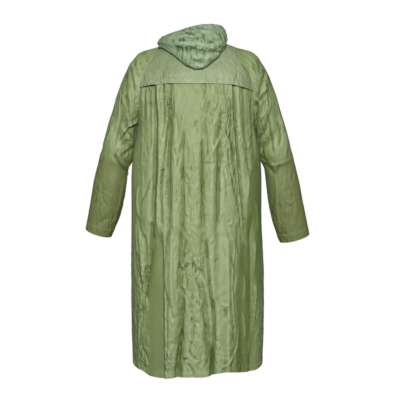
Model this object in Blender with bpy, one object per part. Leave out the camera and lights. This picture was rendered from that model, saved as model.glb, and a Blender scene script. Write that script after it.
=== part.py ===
"""Long hooded raincoat with a free-hanging back cape, filled out as it is worn.

Metres, +Z up. The coat faces -Y, the wearer's left is +X, and the origin lies between
the shoulders, where the wearer carries it. Tables and lengths below are millimetres.
"""

import math

import bpy
import bmesh
import numpy as np
from mathutils import Matrix, Vector

MM = 0.001

# ------------------------------------------------------------------ driving sizes
CLOTH = 1.6               # wall of every cloth piece
SEAM_GAP = 0.3            # between two pieces that are sewn together
LAP_GAP = 0.4             # between the cape and the panel under it, and under a stud
FRONT_LAP_GAP = 0.9       # between the two fronts, whose columns don't line up
SQUARENESS = 0.9          # 1 is an elliptical section, less is boxier
BACK_COLUMNS = 40
FRONT_COLUMNS = 16
FRONT_OVERLAP = 26.0      # how far each front passes the centre line
OVERLAP_RAMP = 34.0       # width over which the upper front steps up on the lower one
SAME_SIDE = 0.3           # cosine above which two pieces share their normal at a seam

# Back of the coat above the underarm: the height at the centre line and at the raglan
# seam, the depth behind the origin at the centre, and the seam's place.
#                centre_z seam_z  depth  seam_x seam_y
BACK_YOKE = (
    ("neckline",      26,    28,    70,    66,    44),
    ("nape",           4,    12,    98,   108,    60),
    ("shoulder",     -34,   -26,   124,   148,    71),
    ("cape_top",     -74,   -66,   142,   171,    84),
    ("blades",      -110,  -104,   154,   189,    90),
    ("cape_edge",   -146,  -142,   162,   201,    91),
    ("armhole_1",   -184,  -182,   167,   207,    86),
    ("armhole_2",   -222,  -222,   169,   210,    72),
    ("armhole_3",   -256,  -256,   170,   214,    47),
    ("armhole_4",   -281,  -281,   171,   216,    20),
)
FRONT_CHEST = (
    ("neckline",     -50,    -6,    90,    74,    58),
    ("collarbone",   -70,   -34,   108,   106,    74),
    ("shoulder",     -94,   -66,   122,   138,    84),
    ("chest_1",     -120,  -100,   134,   166,    90),
    ("chest_2",     -150,  -138,   144,   188,    90),
    ("armhole_1",   -184,  -180,   151,   201,    82),
    ("armhole_2",   -222,  -222,   156,   208,    66),
    ("armhole_3",   -256,  -256,   159,   213,    42),
    ("armhole_4",   -281,  -281,   161,   216,    18),
)
SWAY = -4.0               # the skirt hangs this far to the wearer's right
SWAY_TOP = -620.0
SWAY_LENGTH = 260.0
CAPE_TOP_ROW = 3          # the back panel starts here, under the cape
CAPE_EDGE_ROW = 5         # and the cape ends here

# The coat below the underarm: the height at the side seams and at the centre lines, and
# the half width and the depths of the section.
#            side_z centre_z half_width back_depth front_depth
SKIRT = (
    ("underarm", -290,  -291,   217,   171,   162),
    ("rib_1",    -325,  -327,   223,   172,   164),
    ("rib_2",    -366,  -368,   231,   174,   166),
    ("waist_1",  -420,  -422,   239,   175,   168),
    ("waist_2",  -480,  -483,   242,   176,   170),
    ("waist_3",  -545,  -549,   242,   177,   172),
    ("hip_1",    -610,  -615,   242,   178,   174),
    ("hip_2",    -675,  -681,   243,   179,   176),
    ("hip_3",    -740,  -748,   245,   181,   178),
    ("skirt_1",  -805,  -815,   247,   183,   180),
    ("skirt_2",  -870,  -882,   247,   185,   182),
    ("skirt_3",  -935,  -949,   247,   186,   184),
    ("skirt_4", -1000, -1016,   246,   188,   185),
    ("skirt_5", -1055, -1075,   245,   189,   186),
    ("skirt_6", -1108, -1132,   243,   190,   187),
    ("hem",     -1156, -1184,   241,   190,   188),
)

# The neckline over the shoulder, between the two raglan seams.
#             x    y    z
NECK_ARC = (
    (80,  30,  30),
    (91,   6,  27),
    (93, -18,  18),
    (86, -40,   6),
)

# Sleeve sections from the neck to the wrist: the outermost point, the innermost one, the
# half depth, how far forward the section lies, how far its middle bulges outwards and how
# far it leans forward (degrees).
#             top_x top_z under_x under_z half_depth middle_y bulge lean
SLEEVE = (
    ("crest",   152,    8,   218,  -292,    92,    -2,   30,   0),
    ("tip",     211,  -11,   221,  -295,    95,    -3,   11,   0),
    ("cap_1",   245,  -52,   224,  -300,    91,    -4,    4,   0),
    ("cap_2",   270,  -97,   227,  -309,    85,    -5,    1,   0),
    ("arm_1",   290, -150,   230,  -322,    78,    -5,    0,   0),
    ("arm_2",   310, -212,   233,  -341,    72,    -6,    0,   1),
    ("arm_3",   329, -275,   237,  -365,    67,    -7,    0,   2),
    ("arm_4",   346, -335,   243,  -393,    66,    -9,    0,   4),
    ("arm_5",   360, -386,   249,  -424,    64,   -12,    0,   6),
    ("elbow",   368, -418,   255,  -448,    59,   -15,    0,   9),
    ("fore_1",  385, -482,   264,  -508,    62,   -26,    0,  12),
    ("fore_2",  397, -545,   276,  -568,    60,   -40,    0,  12),
    ("fore_3",  409, -606,   296,  -632,    57,   -54,    0,  12),
    ("cuff",    421, -667,   323,  -697,    53,   -68,    0,  12),
)
SLEEVE_RINGS = 20
RIGHT_ARM_DROP = 20.0     # the right sleeve hangs straighter and so reaches lower
RIGHT_CUFF_SPREAD = 7.0   # and its cuff is flatter, this much wider on each side

# Long folds: where each runs at its upper end, its middle and its lower end, the height
# of those ends, how deep it is there, and its half width. Depth is into the coat.
#              x_top x_mid x_low  z_top  z_low  d_top d_mid d_low half_width
BACK_FOLDS = (
    ("left_side",   151,  151,  190,  -170,  -900,  11,   9,   4,  15),
    ("left_blade",   87,  101,   96,  -165,  -760,   9,   9,   3,  16),
    ("left_centre",  51,   52,   62,  -290, -1200,   3,   7,  15,  17),
    ("right_centre", -34, -24,  -56,  -215, -1200,   5,   7,  15,  17),
    ("right_blade",  -87, -76,  -72,  -230,  -930,   6,   6,   3,  12),
    ("right_side",  -120, -152, -184,  -165,  -840,   9,   9,   5,  16),
    ("right_skirt", -160, -166, -172,  -780, -1200,   2,   7,   9,  20),
    ("left_skirt",   150,  138,  130,  -820, -1200,   2,   5,   7,  24),
)
FRONT_FOLDS = (
    ("left_chest",   95,   88,  100,  -170,  -760,   7,   8,   3,  17),
    ("left_flank",  160,  168,  178,  -250,  -980,   7,   9,   5,  16),
    ("left_skirt",   70,   80,   92,  -700, -1200,   2,   8,  12,  19),
    ("right_chest", -98,  -92, -112,  -185,  -800,   7,   7,   3,  17),
    ("right_flank", -158, -170, -174, -230,  -930,   8,   9,   4,  16),
    ("right_skirt", -76,  -88,  -84,  -660, -1200,   2,   8,  12,  19),
)
FOLD_END = 100.0          # a fold fades out over this length

# How far the cape's free edge stands off the back panel, by place across the back. It is
# caught down at two vertical tacks.
#             x   lift
CAPE_LIFT = (
    (-205, 3.0),
    (-175, 8.0),
    (-135, 9.0),
    (-100, 4.0),
    (-76,  0.0),
    (-45,  3.0),
    (0,    2.0),
    (60,   3.0),
    (95,   6.0),
    (119,  0.0),
    (150,  6.0),
    (180,  8.0),
    (205,  3.0),
)

# How far the cape's free edge drops towards the next level at its two ends.
#             x    share
CAPE_DROP = (
    (-205, 0.62),
    (-165, 0.34),
    (-120, 0.08),
    (-76,  0.0),
    (119,  0.0),
    (165,  0.12),
    (205,  0.30),
)

# Dents of the crumpled sleeve: how far down the sleeve (0 neck to 1 cuff), where round it
# (0 body side, 90 back, 180 outside), depth, half length and half spread round it.
#             along around depth half_length half_spread
SLEEVE_DENTS = (
    ("armpit",      0.40,  45, 12, 0.030,  50),
    ("armpit_low",  0.50,  60, 10, 0.028,  48),
    ("biceps",      0.44, 150,  6, 0.030,  34),
    ("triceps",     0.31, 105,  6, 0.030,  30),
    ("front_crook", 0.58, 285, 10, 0.030,  50),
    ("elbow_in",    0.62,  20,  8, 0.024,  45),
    ("elbow_out",   0.615, 165, 8, 0.022,  50),
    ("forearm",     0.80, 110,  4, 0.060,  28),
)

# Hood lying on the upper back: by direction round the neck (0 back, + wearer's left), the
# bottom of its pouch, its outermost stretch, and the rim.
#      angle fold_r fold_z belly_r belly_z rim_r rim_z
HOOD = (
    (-177,   88,  -34,   96,  -22,   94,   -5),
    (-140,   92,   -6,  102,    4,  100,   18),
    (-105,  104,   24,  113,   29,  105,   38),
    (-75,   118,   26,  124,   35,  109,   54),
    (-50,   139,    5,  148,   27,  113,   74),
    (-28,   162,  -44,  186,   -4,  118,   81),
    (-12,   170,  -84,  204,    4,  120,   80),
    (-3,    172,  -97,  209,    6,  122,   76),
    (12,    170,  -80,  204,    2,  122,   70),
    (30,    162,  -38,  188,   -2,  122,   58),
    (50,    158,   -4,  174,   10,  126,   47),
    (66,    150,   12,  160,   24,  124,   48),
    (90,    126,   26,  134,   34,  116,   42),
    (130,    98,    2,  108,   12,  102,   24),
    (177,    88,  -34,   96,  -22,   94,   -5),
)
HOOD_AXIS_Y = -8.0        # the directions turn about this point, the neck's middle
HOOD_ROWS = 12
HOOD_STAND = 14.0         # the hood rises this far before it rolls outwards
HOOD_ROLL = 16.0          # and then reaches this far out
HOOD_PLEAT = 10.0         # relief of the fold that runs across the pouch
HOOD_FULL_POUCH = 34.0    # depth of the pouch at which that fold has its full relief
HOOD_SEAT_GAP = 0.5       # above the neckline's edge, which has twice as many corners
HOOD_FRONT_GAP = 2.0      # each hood half stays this far from the centre front
HOOD_BAND = 7             # corners of its narrow front band, up to the raglan seam

STUD_COUNT = 6
STUD_RADIUS = 7.0
STUD_HEIGHT = 2.2
STUD_TOP = -92.0          # height of the first stud
STUD_PITCH = 132.0
STUD_SEGMENTS = 12

# ------------------------------------------------------------------ finishes
#              base colour (linear)     roughness
SAGE = ((0.240, 0.300, 0.150), 0.42)
OLIVE = ((0.200, 0.250, 0.090), 0.42)
DULL_METAL = ((0.350, 0.350, 0.320), 0.35)


# ------------------------------------------------------------------ scene and mesh helpers
def clear_scene():
    for scene_object in list(bpy.data.objects):
        bpy.data.objects.remove(scene_object, do_unlink=True)


def new_collection(name):
    collection = bpy.data.collections.new(name)
    bpy.context.scene.collection.children.link(collection)
    return collection


def new_material(name, finish, metallic=0.0):
    colour, roughness = finish
    material = bpy.data.materials.new(name)
    material.use_nodes = True
    shader = material.node_tree.nodes["Principled BSDF"]
    shader.inputs["Base Color"].default_value = (*colour, 1.0)
    shader.inputs["Roughness"].default_value = roughness
    shader.inputs["Metallic"].default_value = metallic
    return material


def add_piece(collection, name, mesh, material):
    piece = bpy.data.objects.new(name, mesh)
    collection.objects.link(piece)
    mesh.materials.append(material)
    mesh.shade_smooth()
    mesh.set_sharp_from_angle(angle=math.radians(50))
    return piece


# ------------------------------------------------------------------ curves and grids
def smooth_step(value):
    clipped = np.clip(value, 0.0, 1.0)
    return clipped * clipped * (3.0 - 2.0 * clipped)


def unit(vectors):
    return vectors / np.linalg.norm(vectors, axis=-1, keepdims=True)


def spline_rows(rows, count):
    """Catmull-Rom curve through rows (an array whose first axis is the curve's)."""
    rows = np.asarray(rows, dtype=float)
    last = len(rows) - 1
    sampled = []
    for place in np.linspace(0.0, last, count):
        index = min(int(place), last - 1)
        t = place - index
        before = rows[max(index - 1, 0)]
        start = rows[index]
        end = rows[index + 1]
        after = rows[min(index + 2, last)]
        sampled.append(0.5 * (
            2.0 * start
            + (end - before) * t
            + (2.0 * before - 5.0 * start + 4.0 * end - after) * t ** 2
            + (3.0 * start - before - 3.0 * end + after) * t ** 3
        ))
    return np.array(sampled)


def grid_normals(grid, closed=False):
    """Outward normals of a grid.

    Its rows run down the coat and its columns run leftwards, as seen from outside.
    """
    if closed:
        across = np.roll(grid, -1, axis=1) - np.roll(grid, 1, axis=1)
    else:
        across = np.gradient(grid, axis=1)
    down = np.gradient(grid, axis=0)
    return unit(np.cross(across, down))


def section_row(level, facing, shares):
    """One level of the coat: share 0 is the centre line and 1 the wearer's left seam."""
    centre_z, seam_z, depth, seam_x, seam_y = level
    corner = math.acos((seam_y / depth) ** (1.0 / SQUARENESS))
    half_width = seam_x / math.sin(corner) ** SQUARENESS
    angles = corner * shares
    x = half_width * np.sign(angles) * np.abs(np.sin(angles)) ** SQUARENESS
    y = facing * depth * np.abs(np.cos(angles)) ** SQUARENESS
    z = centre_z + (seam_z - centre_z) * shares ** 2
    x = x + SWAY * smooth_step((SWAY_TOP - z) / SWAY_LENGTH)
    return np.stack([x, y, z], axis=1)


def levels_below(facing):
    depth_column = 4 if facing > 0 else 5
    return [(row[2], row[1], row[depth_column], row[3], 0.0) for row in SKIRT]


def overlap_share(level):
    """Share at which a front, past the centre line, ends."""
    _, _, depth, seam_x, seam_y = level
    corner = math.acos((seam_y / depth) ** (1.0 / SQUARENESS))
    half_width = seam_x / math.sin(corner) ** SQUARENESS
    return math.asin((FRONT_OVERLAP / half_width) ** (1.0 / SQUARENESS)) / corner


def fold_relief(grid, folds):
    """Inward depth of the long folds at every point of a grid."""
    x = grid[..., 0]
    z = grid[..., 2]
    relief = np.zeros_like(x)
    for _, x_top, x_mid, x_low, z_top, z_low, d_top, d_mid, d_low, half_width in folds:
        along = np.clip((z_top - z) / (z_top - z_low), 0.0, 1.0)
        weights = ((1 - along) * (1 - 2 * along), 4 * along * (1 - along), along * (2 * along - 1))
        path = weights[0] * x_top + weights[1] * x_mid + weights[2] * x_low
        depth = weights[0] * d_top + weights[1] * d_mid + weights[2] * d_low
        fade = smooth_step((z_top - z) / FOLD_END) * smooth_step((z - z_low) / FOLD_END + 0.5)
        relief += np.maximum(depth, 0.0) * fade * np.exp(-((x - path) / half_width) ** 2)
    return relief


def fade_at_sides(columns, margin):
    """1 over the middle of a panel and 0 on its two sewn sides."""
    place = np.linspace(0.0, 1.0, columns)
    return smooth_step(np.minimum(place, 1.0 - place) / margin)


# ------------------------------------------------------------------ the coat's outer surfaces
def back_surface():
    shares = np.linspace(-1.0, 1.0, BACK_COLUMNS + 1)
    levels = [row[1:] for row in BACK_YOKE] + levels_below(1)
    base = np.array([section_row(level, 1, shares) for level in levels])
    fade = fade_at_sides(BACK_COLUMNS + 1, 0.07)
    relief = fold_relief(base, BACK_FOLDS) * fade
    return base - grid_normals(base) * relief[..., None]


def front_surface(side):
    """side 1 is the wearer's left front, from its overlap to the seams."""
    levels = [row[1:] for row in FRONT_CHEST] + levels_below(-1)
    rows = []
    for level in levels:
        shares = np.linspace(-overlap_share(level), 1.0, FRONT_COLUMNS + 1)
        rows.append(section_row(level, -1, side * shares))
    base = np.array(rows)
    if side > 0:
        base = base[:, ::-1]
    place = np.linspace(0.0, 1.0, FRONT_COLUMNS + 1)
    to_seam = 1.0 - place if side < 0 else place
    fade = smooth_step(to_seam / 0.12) * smooth_step((np.abs(base[..., 0]) - 34.0) / 30.0)
    relief = fold_relief(base, FRONT_FOLDS) * fade
    normals = grid_normals(base)
    surface = base - normals * relief[..., None]
    if side > 0:
        past = (FRONT_OVERLAP + OVERLAP_RAMP - base[..., 0]) / OVERLAP_RAMP
        surface = surface + normals * (CLOTH + FRONT_LAP_GAP) * smooth_step(past)[..., None]
    return surface


def sleeve_ring(section, side, angles):
    _, top_x, top_z, under_x, under_z, half_depth, middle_y, bulge, lean = section
    low_share = smooth_step((-300.0 - top_z) / 360.0)
    if side < 0:
        top_z = top_z - RIGHT_ARM_DROP * low_share
        under_z = under_z - RIGHT_ARM_DROP * low_share
        top_x = top_x + RIGHT_CUFF_SPREAD * low_share ** 3
        under_x = under_x - RIGHT_CUFF_SPREAD * low_share ** 3
    middle = np.array([(top_x + under_x) / 2, middle_y, (top_z + under_z) / 2])
    reach = np.array([(top_x - under_x) / 2, 0.0, (top_z - under_z) / 2])
    lean = math.radians(lean)
    back = np.array([0.0, math.cos(lean), -math.sin(lean)]) * half_depth
    points = middle - np.cos(angles)[:, None] * reach + np.sin(angles)[:, None] * back
    points[:, 0] += bulge * np.sin(angles) ** 2
    return points


def sleeve_surface(side, back_seam, front_seam):
    """Rings from the raglan seam and the neckline down to the cuff, from the underarm on."""
    arc = np.array(NECK_ARC, dtype=float)
    seam = np.concatenate([back_seam[::-1], arc, front_seam[:-1]])
    angles = np.linspace(0.0, 2 * math.pi, len(seam), endpoint=False)
    rings = [seam] + [sleeve_ring(section, side, angles) for section in SLEEVE]
    surface = spline_rows(rings, SLEEVE_RINGS + 1)
    along = np.linspace(0.0, 1.0, SLEEVE_RINGS + 1)[:, None]
    degrees = np.degrees(angles)[None, :]
    relief = np.zeros(surface.shape[:2])
    for _, place, around, depth, half_length, half_spread in SLEEVE_DENTS:
        turn = (degrees - around + 180.0) % 360.0 - 180.0
        relief += depth * np.exp(-((along - place) / half_length) ** 2 - (turn / half_spread) ** 2)
    normals = grid_normals(surface, closed=True)
    return surface - normals * (relief * smooth_step(along / 0.15))[..., None]


def mirrored(points):
    return points * np.array([-1.0, 1.0, 1.0])


def sleeve_halves(columns):
    """Columns of a sleeve's two cut pieces, sewn under the arm and along its top."""
    middle = columns // 2
    return np.arange(middle + 1), np.arange(middle, columns + 1) % columns


def cape_surface(back, outward):
    """The cape is the back's upper surface, stepped out over the panel and lifted."""
    places, shares = np.array(CAPE_DROP).T
    edge = back[CAPE_EDGE_ROW]
    drop = np.interp(edge[:, 0], places, shares)[:, None]
    edge = edge + (back[CAPE_EDGE_ROW + 1] - edge) * drop
    rows = np.concatenate([back[:CAPE_EDGE_ROW], edge[None]])
    places, lifts = np.array(CAPE_LIFT).T
    edge_lift = np.interp(rows[..., 0], places, lifts)
    row = np.arange(CAPE_EDGE_ROW + 1)[:, None]
    step = (CLOTH + LAP_GAP) * smooth_step((row - 0.5) / (CAPE_TOP_ROW - 1.0))
    lift = edge_lift * smooth_step((row - CAPE_TOP_ROW + 0.5) / (CAPE_EDGE_ROW - CAPE_TOP_ROW + 0.5))
    return rows + outward[:CAPE_EDGE_ROW + 1] * (step + lift)[..., None]


# ------------------------------------------------------------------ cloth walls
def shared_normals(surfaces):
    """Each surface's normals, averaged with its neighbours' along the seams."""
    at_point = {}
    for grid, normals in surfaces.values():
        for point, normal in zip(grid.reshape(-1, 3), normals.reshape(-1, 3)):
            at_point.setdefault(tuple(np.round(point, 2)), []).append(normal)
    shared = {}
    for name, (grid, normals) in surfaces.items():
        flat = normals.reshape(-1, 3).copy()
        for index, point in enumerate(grid.reshape(-1, 3)):
            own = flat[index].copy()
            near = [n for n in at_point[tuple(np.round(point, 2))] if n @ own > SAME_SIDE]
            flat[index] = np.sum(near, axis=0)
        shared[name] = unit(flat).reshape(normals.shape)
    return shared


def pulled_back(grid, top=False, bottom=False, first=False, last=False):
    """Moves the sewn edges of a grid back by half a seam gap."""
    moved = grid.copy()
    half_gap = SEAM_GAP / 2
    if top:
        moved[0] += unit(grid[1] - grid[0]) * half_gap
    if bottom:
        moved[-1] += unit(grid[-2] - grid[-1]) * half_gap
    if first:
        moved[:, 0] += unit(grid[:, 1] - grid[:, 0]) * half_gap
    if last:
        moved[:, -1] += unit(grid[:, -2] - grid[:, -1]) * half_gap
    return moved


def wall_mesh(name, outer, inner):
    """Closed cloth wall between two grids of points.

    Both faces of the wall are split along the same diagonals, so they stay parallel.
    """
    rows, columns = outer.shape[:2]
    bm = bmesh.new()
    layers = [
        [[bm.verts.new(Vector(point) * MM) for point in row] for row in layer]
        for layer in (outer, inner)
    ]
    for row in range(rows - 1):
        for column in range(columns - 1):
            falling = np.linalg.norm(outer[row, column] - outer[row + 1, column + 1])
            rising = np.linalg.norm(outer[row + 1, column] - outer[row, column + 1])
            for layer in layers:
                a, b = layer[row][column], layer[row + 1][column]
                c, d = layer[row + 1][column + 1], layer[row][column + 1]
                if falling <= rising + 1.0:
                    bm.faces.new((a, b, c))
                    bm.faces.new((a, c, d))
                else:
                    bm.faces.new((a, b, d))
                    bm.faces.new((b, c, d))
    face, back = layers
    for row in (0, rows - 1):
        for column in range(columns - 1):
            bm.faces.new((face[row][column], face[row][column + 1],
                          back[row][column + 1], back[row][column]))
    for column in (0, columns - 1):
        for row in range(rows - 1):
            bm.faces.new((face[row][column], face[row + 1][column],
                          back[row + 1][column], back[row][column]))
    bmesh.ops.recalc_face_normals(bm, faces=bm.faces[:])
    if bm.calc_volume(signed=True) < 0:
        bmesh.ops.reverse_faces(bm, faces=bm.faces[:])
    mesh = bpy.data.meshes.new(name)
    bm.to_mesh(mesh)
    bm.free()
    return mesh


# ------------------------------------------------------------------ hood
def hood_profile(neck_r, neck_z, angle):
    """The hood's section in one direction: up, over, down to the pouch and up to the rim."""
    table = np.array(HOOD, dtype=float)
    fold_r, fold_z, belly_r, belly_z, rim_r, rim_z = (
        np.interp(angle, table[:, 0], table[:, column]) for column in range(1, 7)
    )
    roll = float(np.clip((fold_r - neck_r - 5.0) / 40.0, 0.0, 1.0))
    neck = np.array([neck_r, neck_z])
    rolled = np.array([HOOD_ROLL, HOOD_STAND + 6.0])
    upright = np.array([3.0, 11.0])
    stand = neck + np.array([2.0, HOOD_STAND * roll + 6.0 * (1 - roll)])
    over = neck + roll * rolled + (1 - roll) * upright
    fold = np.array([fold_r, fold_z])
    belly = np.array([belly_r, belly_z])
    rim = np.array([rim_r, rim_z])
    drape = over + (fold - over) * 0.55
    reach = HOOD_PLEAT * roll * min(1.0, (belly_r - fold_r) / HOOD_FULL_POUCH)
    heel = fold + (belly - fold) * 0.3 + np.array([reach, -0.2 * reach])
    pleat = fold + (belly - fold) * 0.68 - np.array([0.6 * reach, 0.0])
    crown = belly + (rim - belly) * 0.5 + np.array([0.5, 0.8]) * HOOD_PLEAT * roll
    return np.array([neck, stand, over, drape, fold, heel, pleat, belly, crown, rim])


def hood_surface(neckline):
    """Rows run from the neckline to the rim, columns from the centre front leftwards."""
    columns = []
    for point in neckline:
        offset = point[:2] - np.array([0.0, HOOD_AXIS_Y])
        angle = math.degrees(math.atan2(offset[0], offset[1]))
        profile = spline_rows(hood_profile(np.linalg.norm(offset), point[2], angle), HOOD_ROWS + 1)
        plan = profile[:, :1] * unit(offset) + np.array([0.0, HOOD_AXIS_Y])
        columns.append(np.concatenate([plan, profile[:, 1:]], axis=1))
    return np.array(columns).transpose(1, 0, 2)


def neckline_half(back_row, arc, front_row):
    """Neckline corners of the left side, from the centre front to the centre back."""
    front_part = front_row[front_row[:, 0] > 3.0]
    centre_front = np.array([[HOOD_FRONT_GAP, front_row[:, 1].min(), front_row[:, 2].min()]])
    corners = np.concatenate([centre_front, front_part[1:-1:2], front_part[-1:],
                              arc[::-1], back_row[::-1][:-1:2], back_row[:1]])
    over_lap = smooth_step((FRONT_OVERLAP + OVERLAP_RAMP - corners[:, 0]) / OVERLAP_RAMP)
    corners[:, 2] += HOOD_SEAT_GAP + (CLOTH + FRONT_LAP_GAP) * over_lap * (corners[:, 1] < 0.0)
    return corners


# ------------------------------------------------------------------ studs
def stud_mesh(name):
    bm = bmesh.new()
    bmesh.ops.create_cone(bm, cap_ends=True, segments=STUD_SEGMENTS, radius1=STUD_RADIUS * MM,
                          radius2=STUD_RADIUS * MM, depth=STUD_HEIGHT * MM)
    top_edges = [edge for edge in bm.edges if all(v.co.z > 0 for v in edge.verts)]
    bmesh.ops.bevel(bm, geom=top_edges, offset=STUD_HEIGHT * 0.5 * MM, segments=1, affect="EDGES")
    mesh = bpy.data.meshes.new(name)
    bm.to_mesh(mesh)
    bm.free()
    return mesh


def seat_on_front(front, height):
    """Middle of the overlap at a height on the upper front, and the normal there."""
    edge = np.array([[0.0, *(np.interp(0.0, row[::-1, 0], row[::-1, axis]) for axis in (1, 2))]
                     for row in front])
    row = int(np.argmax(edge[:, 2] < height)) - 1
    share = (edge[row, 2] - height) / (edge[row, 2] - edge[row + 1, 2])
    point = edge[row] + (edge[row + 1] - edge[row]) * share
    down = edge[row + 1] - edge[row]
    return point, unit(np.cross(np.array([-1.0, 0.0, 0.0]), down))


# ------------------------------------------------------------------ build
def build_coat():
    cloth = new_collection("hooded_raincoat")
    sage = new_material("coated_cloth_sage", SAGE)
    olive = new_material("coated_cloth_olive", OLIVE)
    metal = new_material("stud_metal", DULL_METAL, metallic=1.0)

    back = back_surface()
    front_left = front_surface(1)
    front_right = front_surface(-1)
    back_rows = len(BACK_YOKE) + 1
    front_rows = len(FRONT_CHEST) + 1
    sleeve_left = sleeve_surface(1, back[:back_rows, -1], front_left[:front_rows, 0])
    sleeve_right = sleeve_surface(-1, mirrored(back[:back_rows, 0]),
                                  mirrored(front_right[:front_rows, -1]))
    sleeve_right = np.roll(mirrored(sleeve_right)[:, ::-1], 1, axis=1)
    surfaces = {
        "back": (back, grid_normals(back)),
        "front_left": (front_left, grid_normals(front_left)),
        "front_right": (front_right, grid_normals(front_right)),
        "sleeve_left": (sleeve_left, grid_normals(sleeve_left, closed=True)),
        "sleeve_right": (sleeve_right, grid_normals(sleeve_right, closed=True)),
    }
    normals = shared_normals(surfaces)

    def add_wall(name, outer, outward, material):
        add_piece(cloth, name, wall_mesh(name, outer, outer - outward * CLOTH), material)

    panel = pulled_back(back, first=True, last=True)[CAPE_TOP_ROW:]
    add_wall("back_panel", panel, normals["back"][CAPE_TOP_ROW:], sage)
    cape = cape_surface(pulled_back(back, first=True, last=True), normals["back"])
    add_wall("back_yoke", cape, normals["back"][:CAPE_EDGE_ROW + 1], sage)
    add_wall("front_left", pulled_back(front_left, first=True), normals["front_left"], sage)
    add_wall("front_right", pulled_back(front_right, last=True), normals["front_right"], sage)
    for name, sleeve, halves in (("sleeve_left", sleeve_left, ("back", "front")),
                                 ("sleeve_right", sleeve_right, ("front", "back"))):
        for half, columns in zip(halves, sleeve_halves(sleeve.shape[1])):
            cut = pulled_back(sleeve[:, columns], top=True, first=True, last=True)
            add_wall(f"{name}_{half}", cut, normals[name][:, columns], olive)

    arc = np.array(NECK_ARC, dtype=float)
    middle = BACK_COLUMNS // 2
    left_half = neckline_half(back[0, middle:], arc, front_left[0, ::-1])
    right_half = mirrored(neckline_half(mirrored(back[0, middle::-1]), arc,
                                        mirrored(front_right[0])))
    hood = hood_surface(np.concatenate([left_half, right_half[-2::-1]]))
    hood_normals = grid_normals(hood)
    seam = len(left_half) - 1
    last = 2 * seam
    for name, first_column, last_column in (
        ("hood_left_band", 0, HOOD_BAND),
        ("hood_left", HOOD_BAND, seam),
        ("hood_right", seam, last - HOOD_BAND),
        ("hood_right_band", last - HOOD_BAND, last),
    ):
        columns = np.s_[:, first_column:last_column + 1]
        cut = pulled_back(hood[columns], first=first_column > 0, last=last_column < last)
        add_wall(name, cut, hood_normals[columns], sage)

    for index in range(STUD_COUNT):
        name = f"stud_{index + 1}"
        point, outward = seat_on_front(front_left, STUD_TOP - index * STUD_PITCH)
        centre = Vector(point + outward * (LAP_GAP + STUD_HEIGHT / 2)) * MM
        stud = add_piece(cloth, name, stud_mesh(name), metal)
        turn = Vector((0.0, 0.0, 1.0)).rotation_difference(Vector(outward))
        stud.matrix_world = Matrix.Translation(centre) @ turn.to_matrix().to_4x4()


clear_scene()
build_coat()
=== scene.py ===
"""Looks of a long hooded raincoat in thin coated cloth, filled out as it is worn.

Each cloth piece is a thin creased shell on the form of its CAD solid. The tables and
lengths are millimetres in the row frame: the coat faces -Y, the wearer's left is +X, and
the origin lies between the shoulders. Meshes, lights and the camera are in metres.
"""

import math
from collections import namedtuple

import bpy
import bmesh
import numpy as np
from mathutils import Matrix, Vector


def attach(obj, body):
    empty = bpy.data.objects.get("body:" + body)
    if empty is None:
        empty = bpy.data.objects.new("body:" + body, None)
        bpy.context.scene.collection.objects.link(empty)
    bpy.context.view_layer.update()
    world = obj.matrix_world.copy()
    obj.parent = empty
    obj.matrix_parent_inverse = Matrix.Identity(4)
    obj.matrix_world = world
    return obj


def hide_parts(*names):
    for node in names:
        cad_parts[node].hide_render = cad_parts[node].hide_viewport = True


MM = 0.001

# ------------------------------------------------------------------ sizes of the cut pieces
SHELL = 0.9               # thickness of a cloth shell
CLOTH = 1.6               # wall of the CAD solids
LAP_GAP = 0.4             # between the cape and the panel under it, and under a stud
FRONT_LAP_GAP = 0.9       # between the two fronts
SQUARENESS = 0.9          # 1 is an elliptical section, less is boxier
FRONT_OVERLAP = 26.0      # how far each front passes the centre line
OVERLAP_RAMP = 34.0       # width over which the upper front steps up on the lower one
SWAY = -4.0               # the skirt hangs this far to the wearer's right
SWAY_TOP = -620.0         # growing from this height on, over this length
SWAY_LENGTH = 260.0
NESTLE_GAP = 0.2          # the upper arm's inner side hangs this close to the body
NESTLE_TOP = -270.0       # between these heights
NESTLE_LOW = -440.0
NESTLE_TOP_RAMP = 16.0    # coming in and going out over these lengths
NESTLE_LOW_RAMP = 30.0
NESTLE_SPREAD = 0.9       # and over this much of a turn round the sleeve (radians)
NESTLE_FACING = 0.6       # its points this near the body side (radians) are the ones brought up
CAPE_TOP = 3              # level of BACK_YOKE where the back panel starts, under the cape
CAPE_EDGE = 5             # level where the cape ends
BACK_WIDTH = 620.0        # about as far as each cloth reaches across, for its points
FRONT_WIDTH = 345.0
SLEEVE_GIRTH = 470.0
BACK_GRID = (2.6, 3.9)    # spacing of the shells' points, across and down
FRONT_GRID = (3.1, 4.4)
CAPE_GRID = (2.8, 2.8)
SLEEVE_GRID = (2.9, 3.8)
HOOD_GRID = (2.8, 2.8)

#             centre_z seam_z depth seam_x seam_y
BACK_YOKE = (
    ("neckline",    26,   28,  70,  66, 44),
    ("nape",         4,   12,  98, 108, 60),
    ("shoulder",   -34,  -26, 124, 148, 71),
    ("cape_top",   -74,  -66, 142, 171, 84),
    ("blades",    -110, -104, 154, 189, 90),
    ("cape_edge", -146, -142, 162, 201, 91),
    ("armhole_1", -184, -182, 167, 207, 86),
    ("armhole_2", -222, -222, 169, 210, 72),
    ("armhole_3", -256, -256, 170, 214, 47),
    ("armhole_4", -281, -281, 171, 216, 20),
)
FRONT_CHEST = (
    ("neckline",    -50,   -6,  90,  74, 58),
    ("collarbone",  -70,  -34, 108, 106, 74),
    ("shoulder",    -94,  -66, 122, 138, 84),
    ("chest_1",    -120, -100, 134, 166, 90),
    ("chest_2",    -150, -138, 144, 188, 90),
    ("armhole_1",  -184, -180, 151, 201, 82),
    ("armhole_2",  -222, -222, 156, 208, 66),
    ("armhole_3",  -256, -256, 159, 213, 42),
    ("armhole_4",  -281, -281, 161, 216, 18),
)
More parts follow.
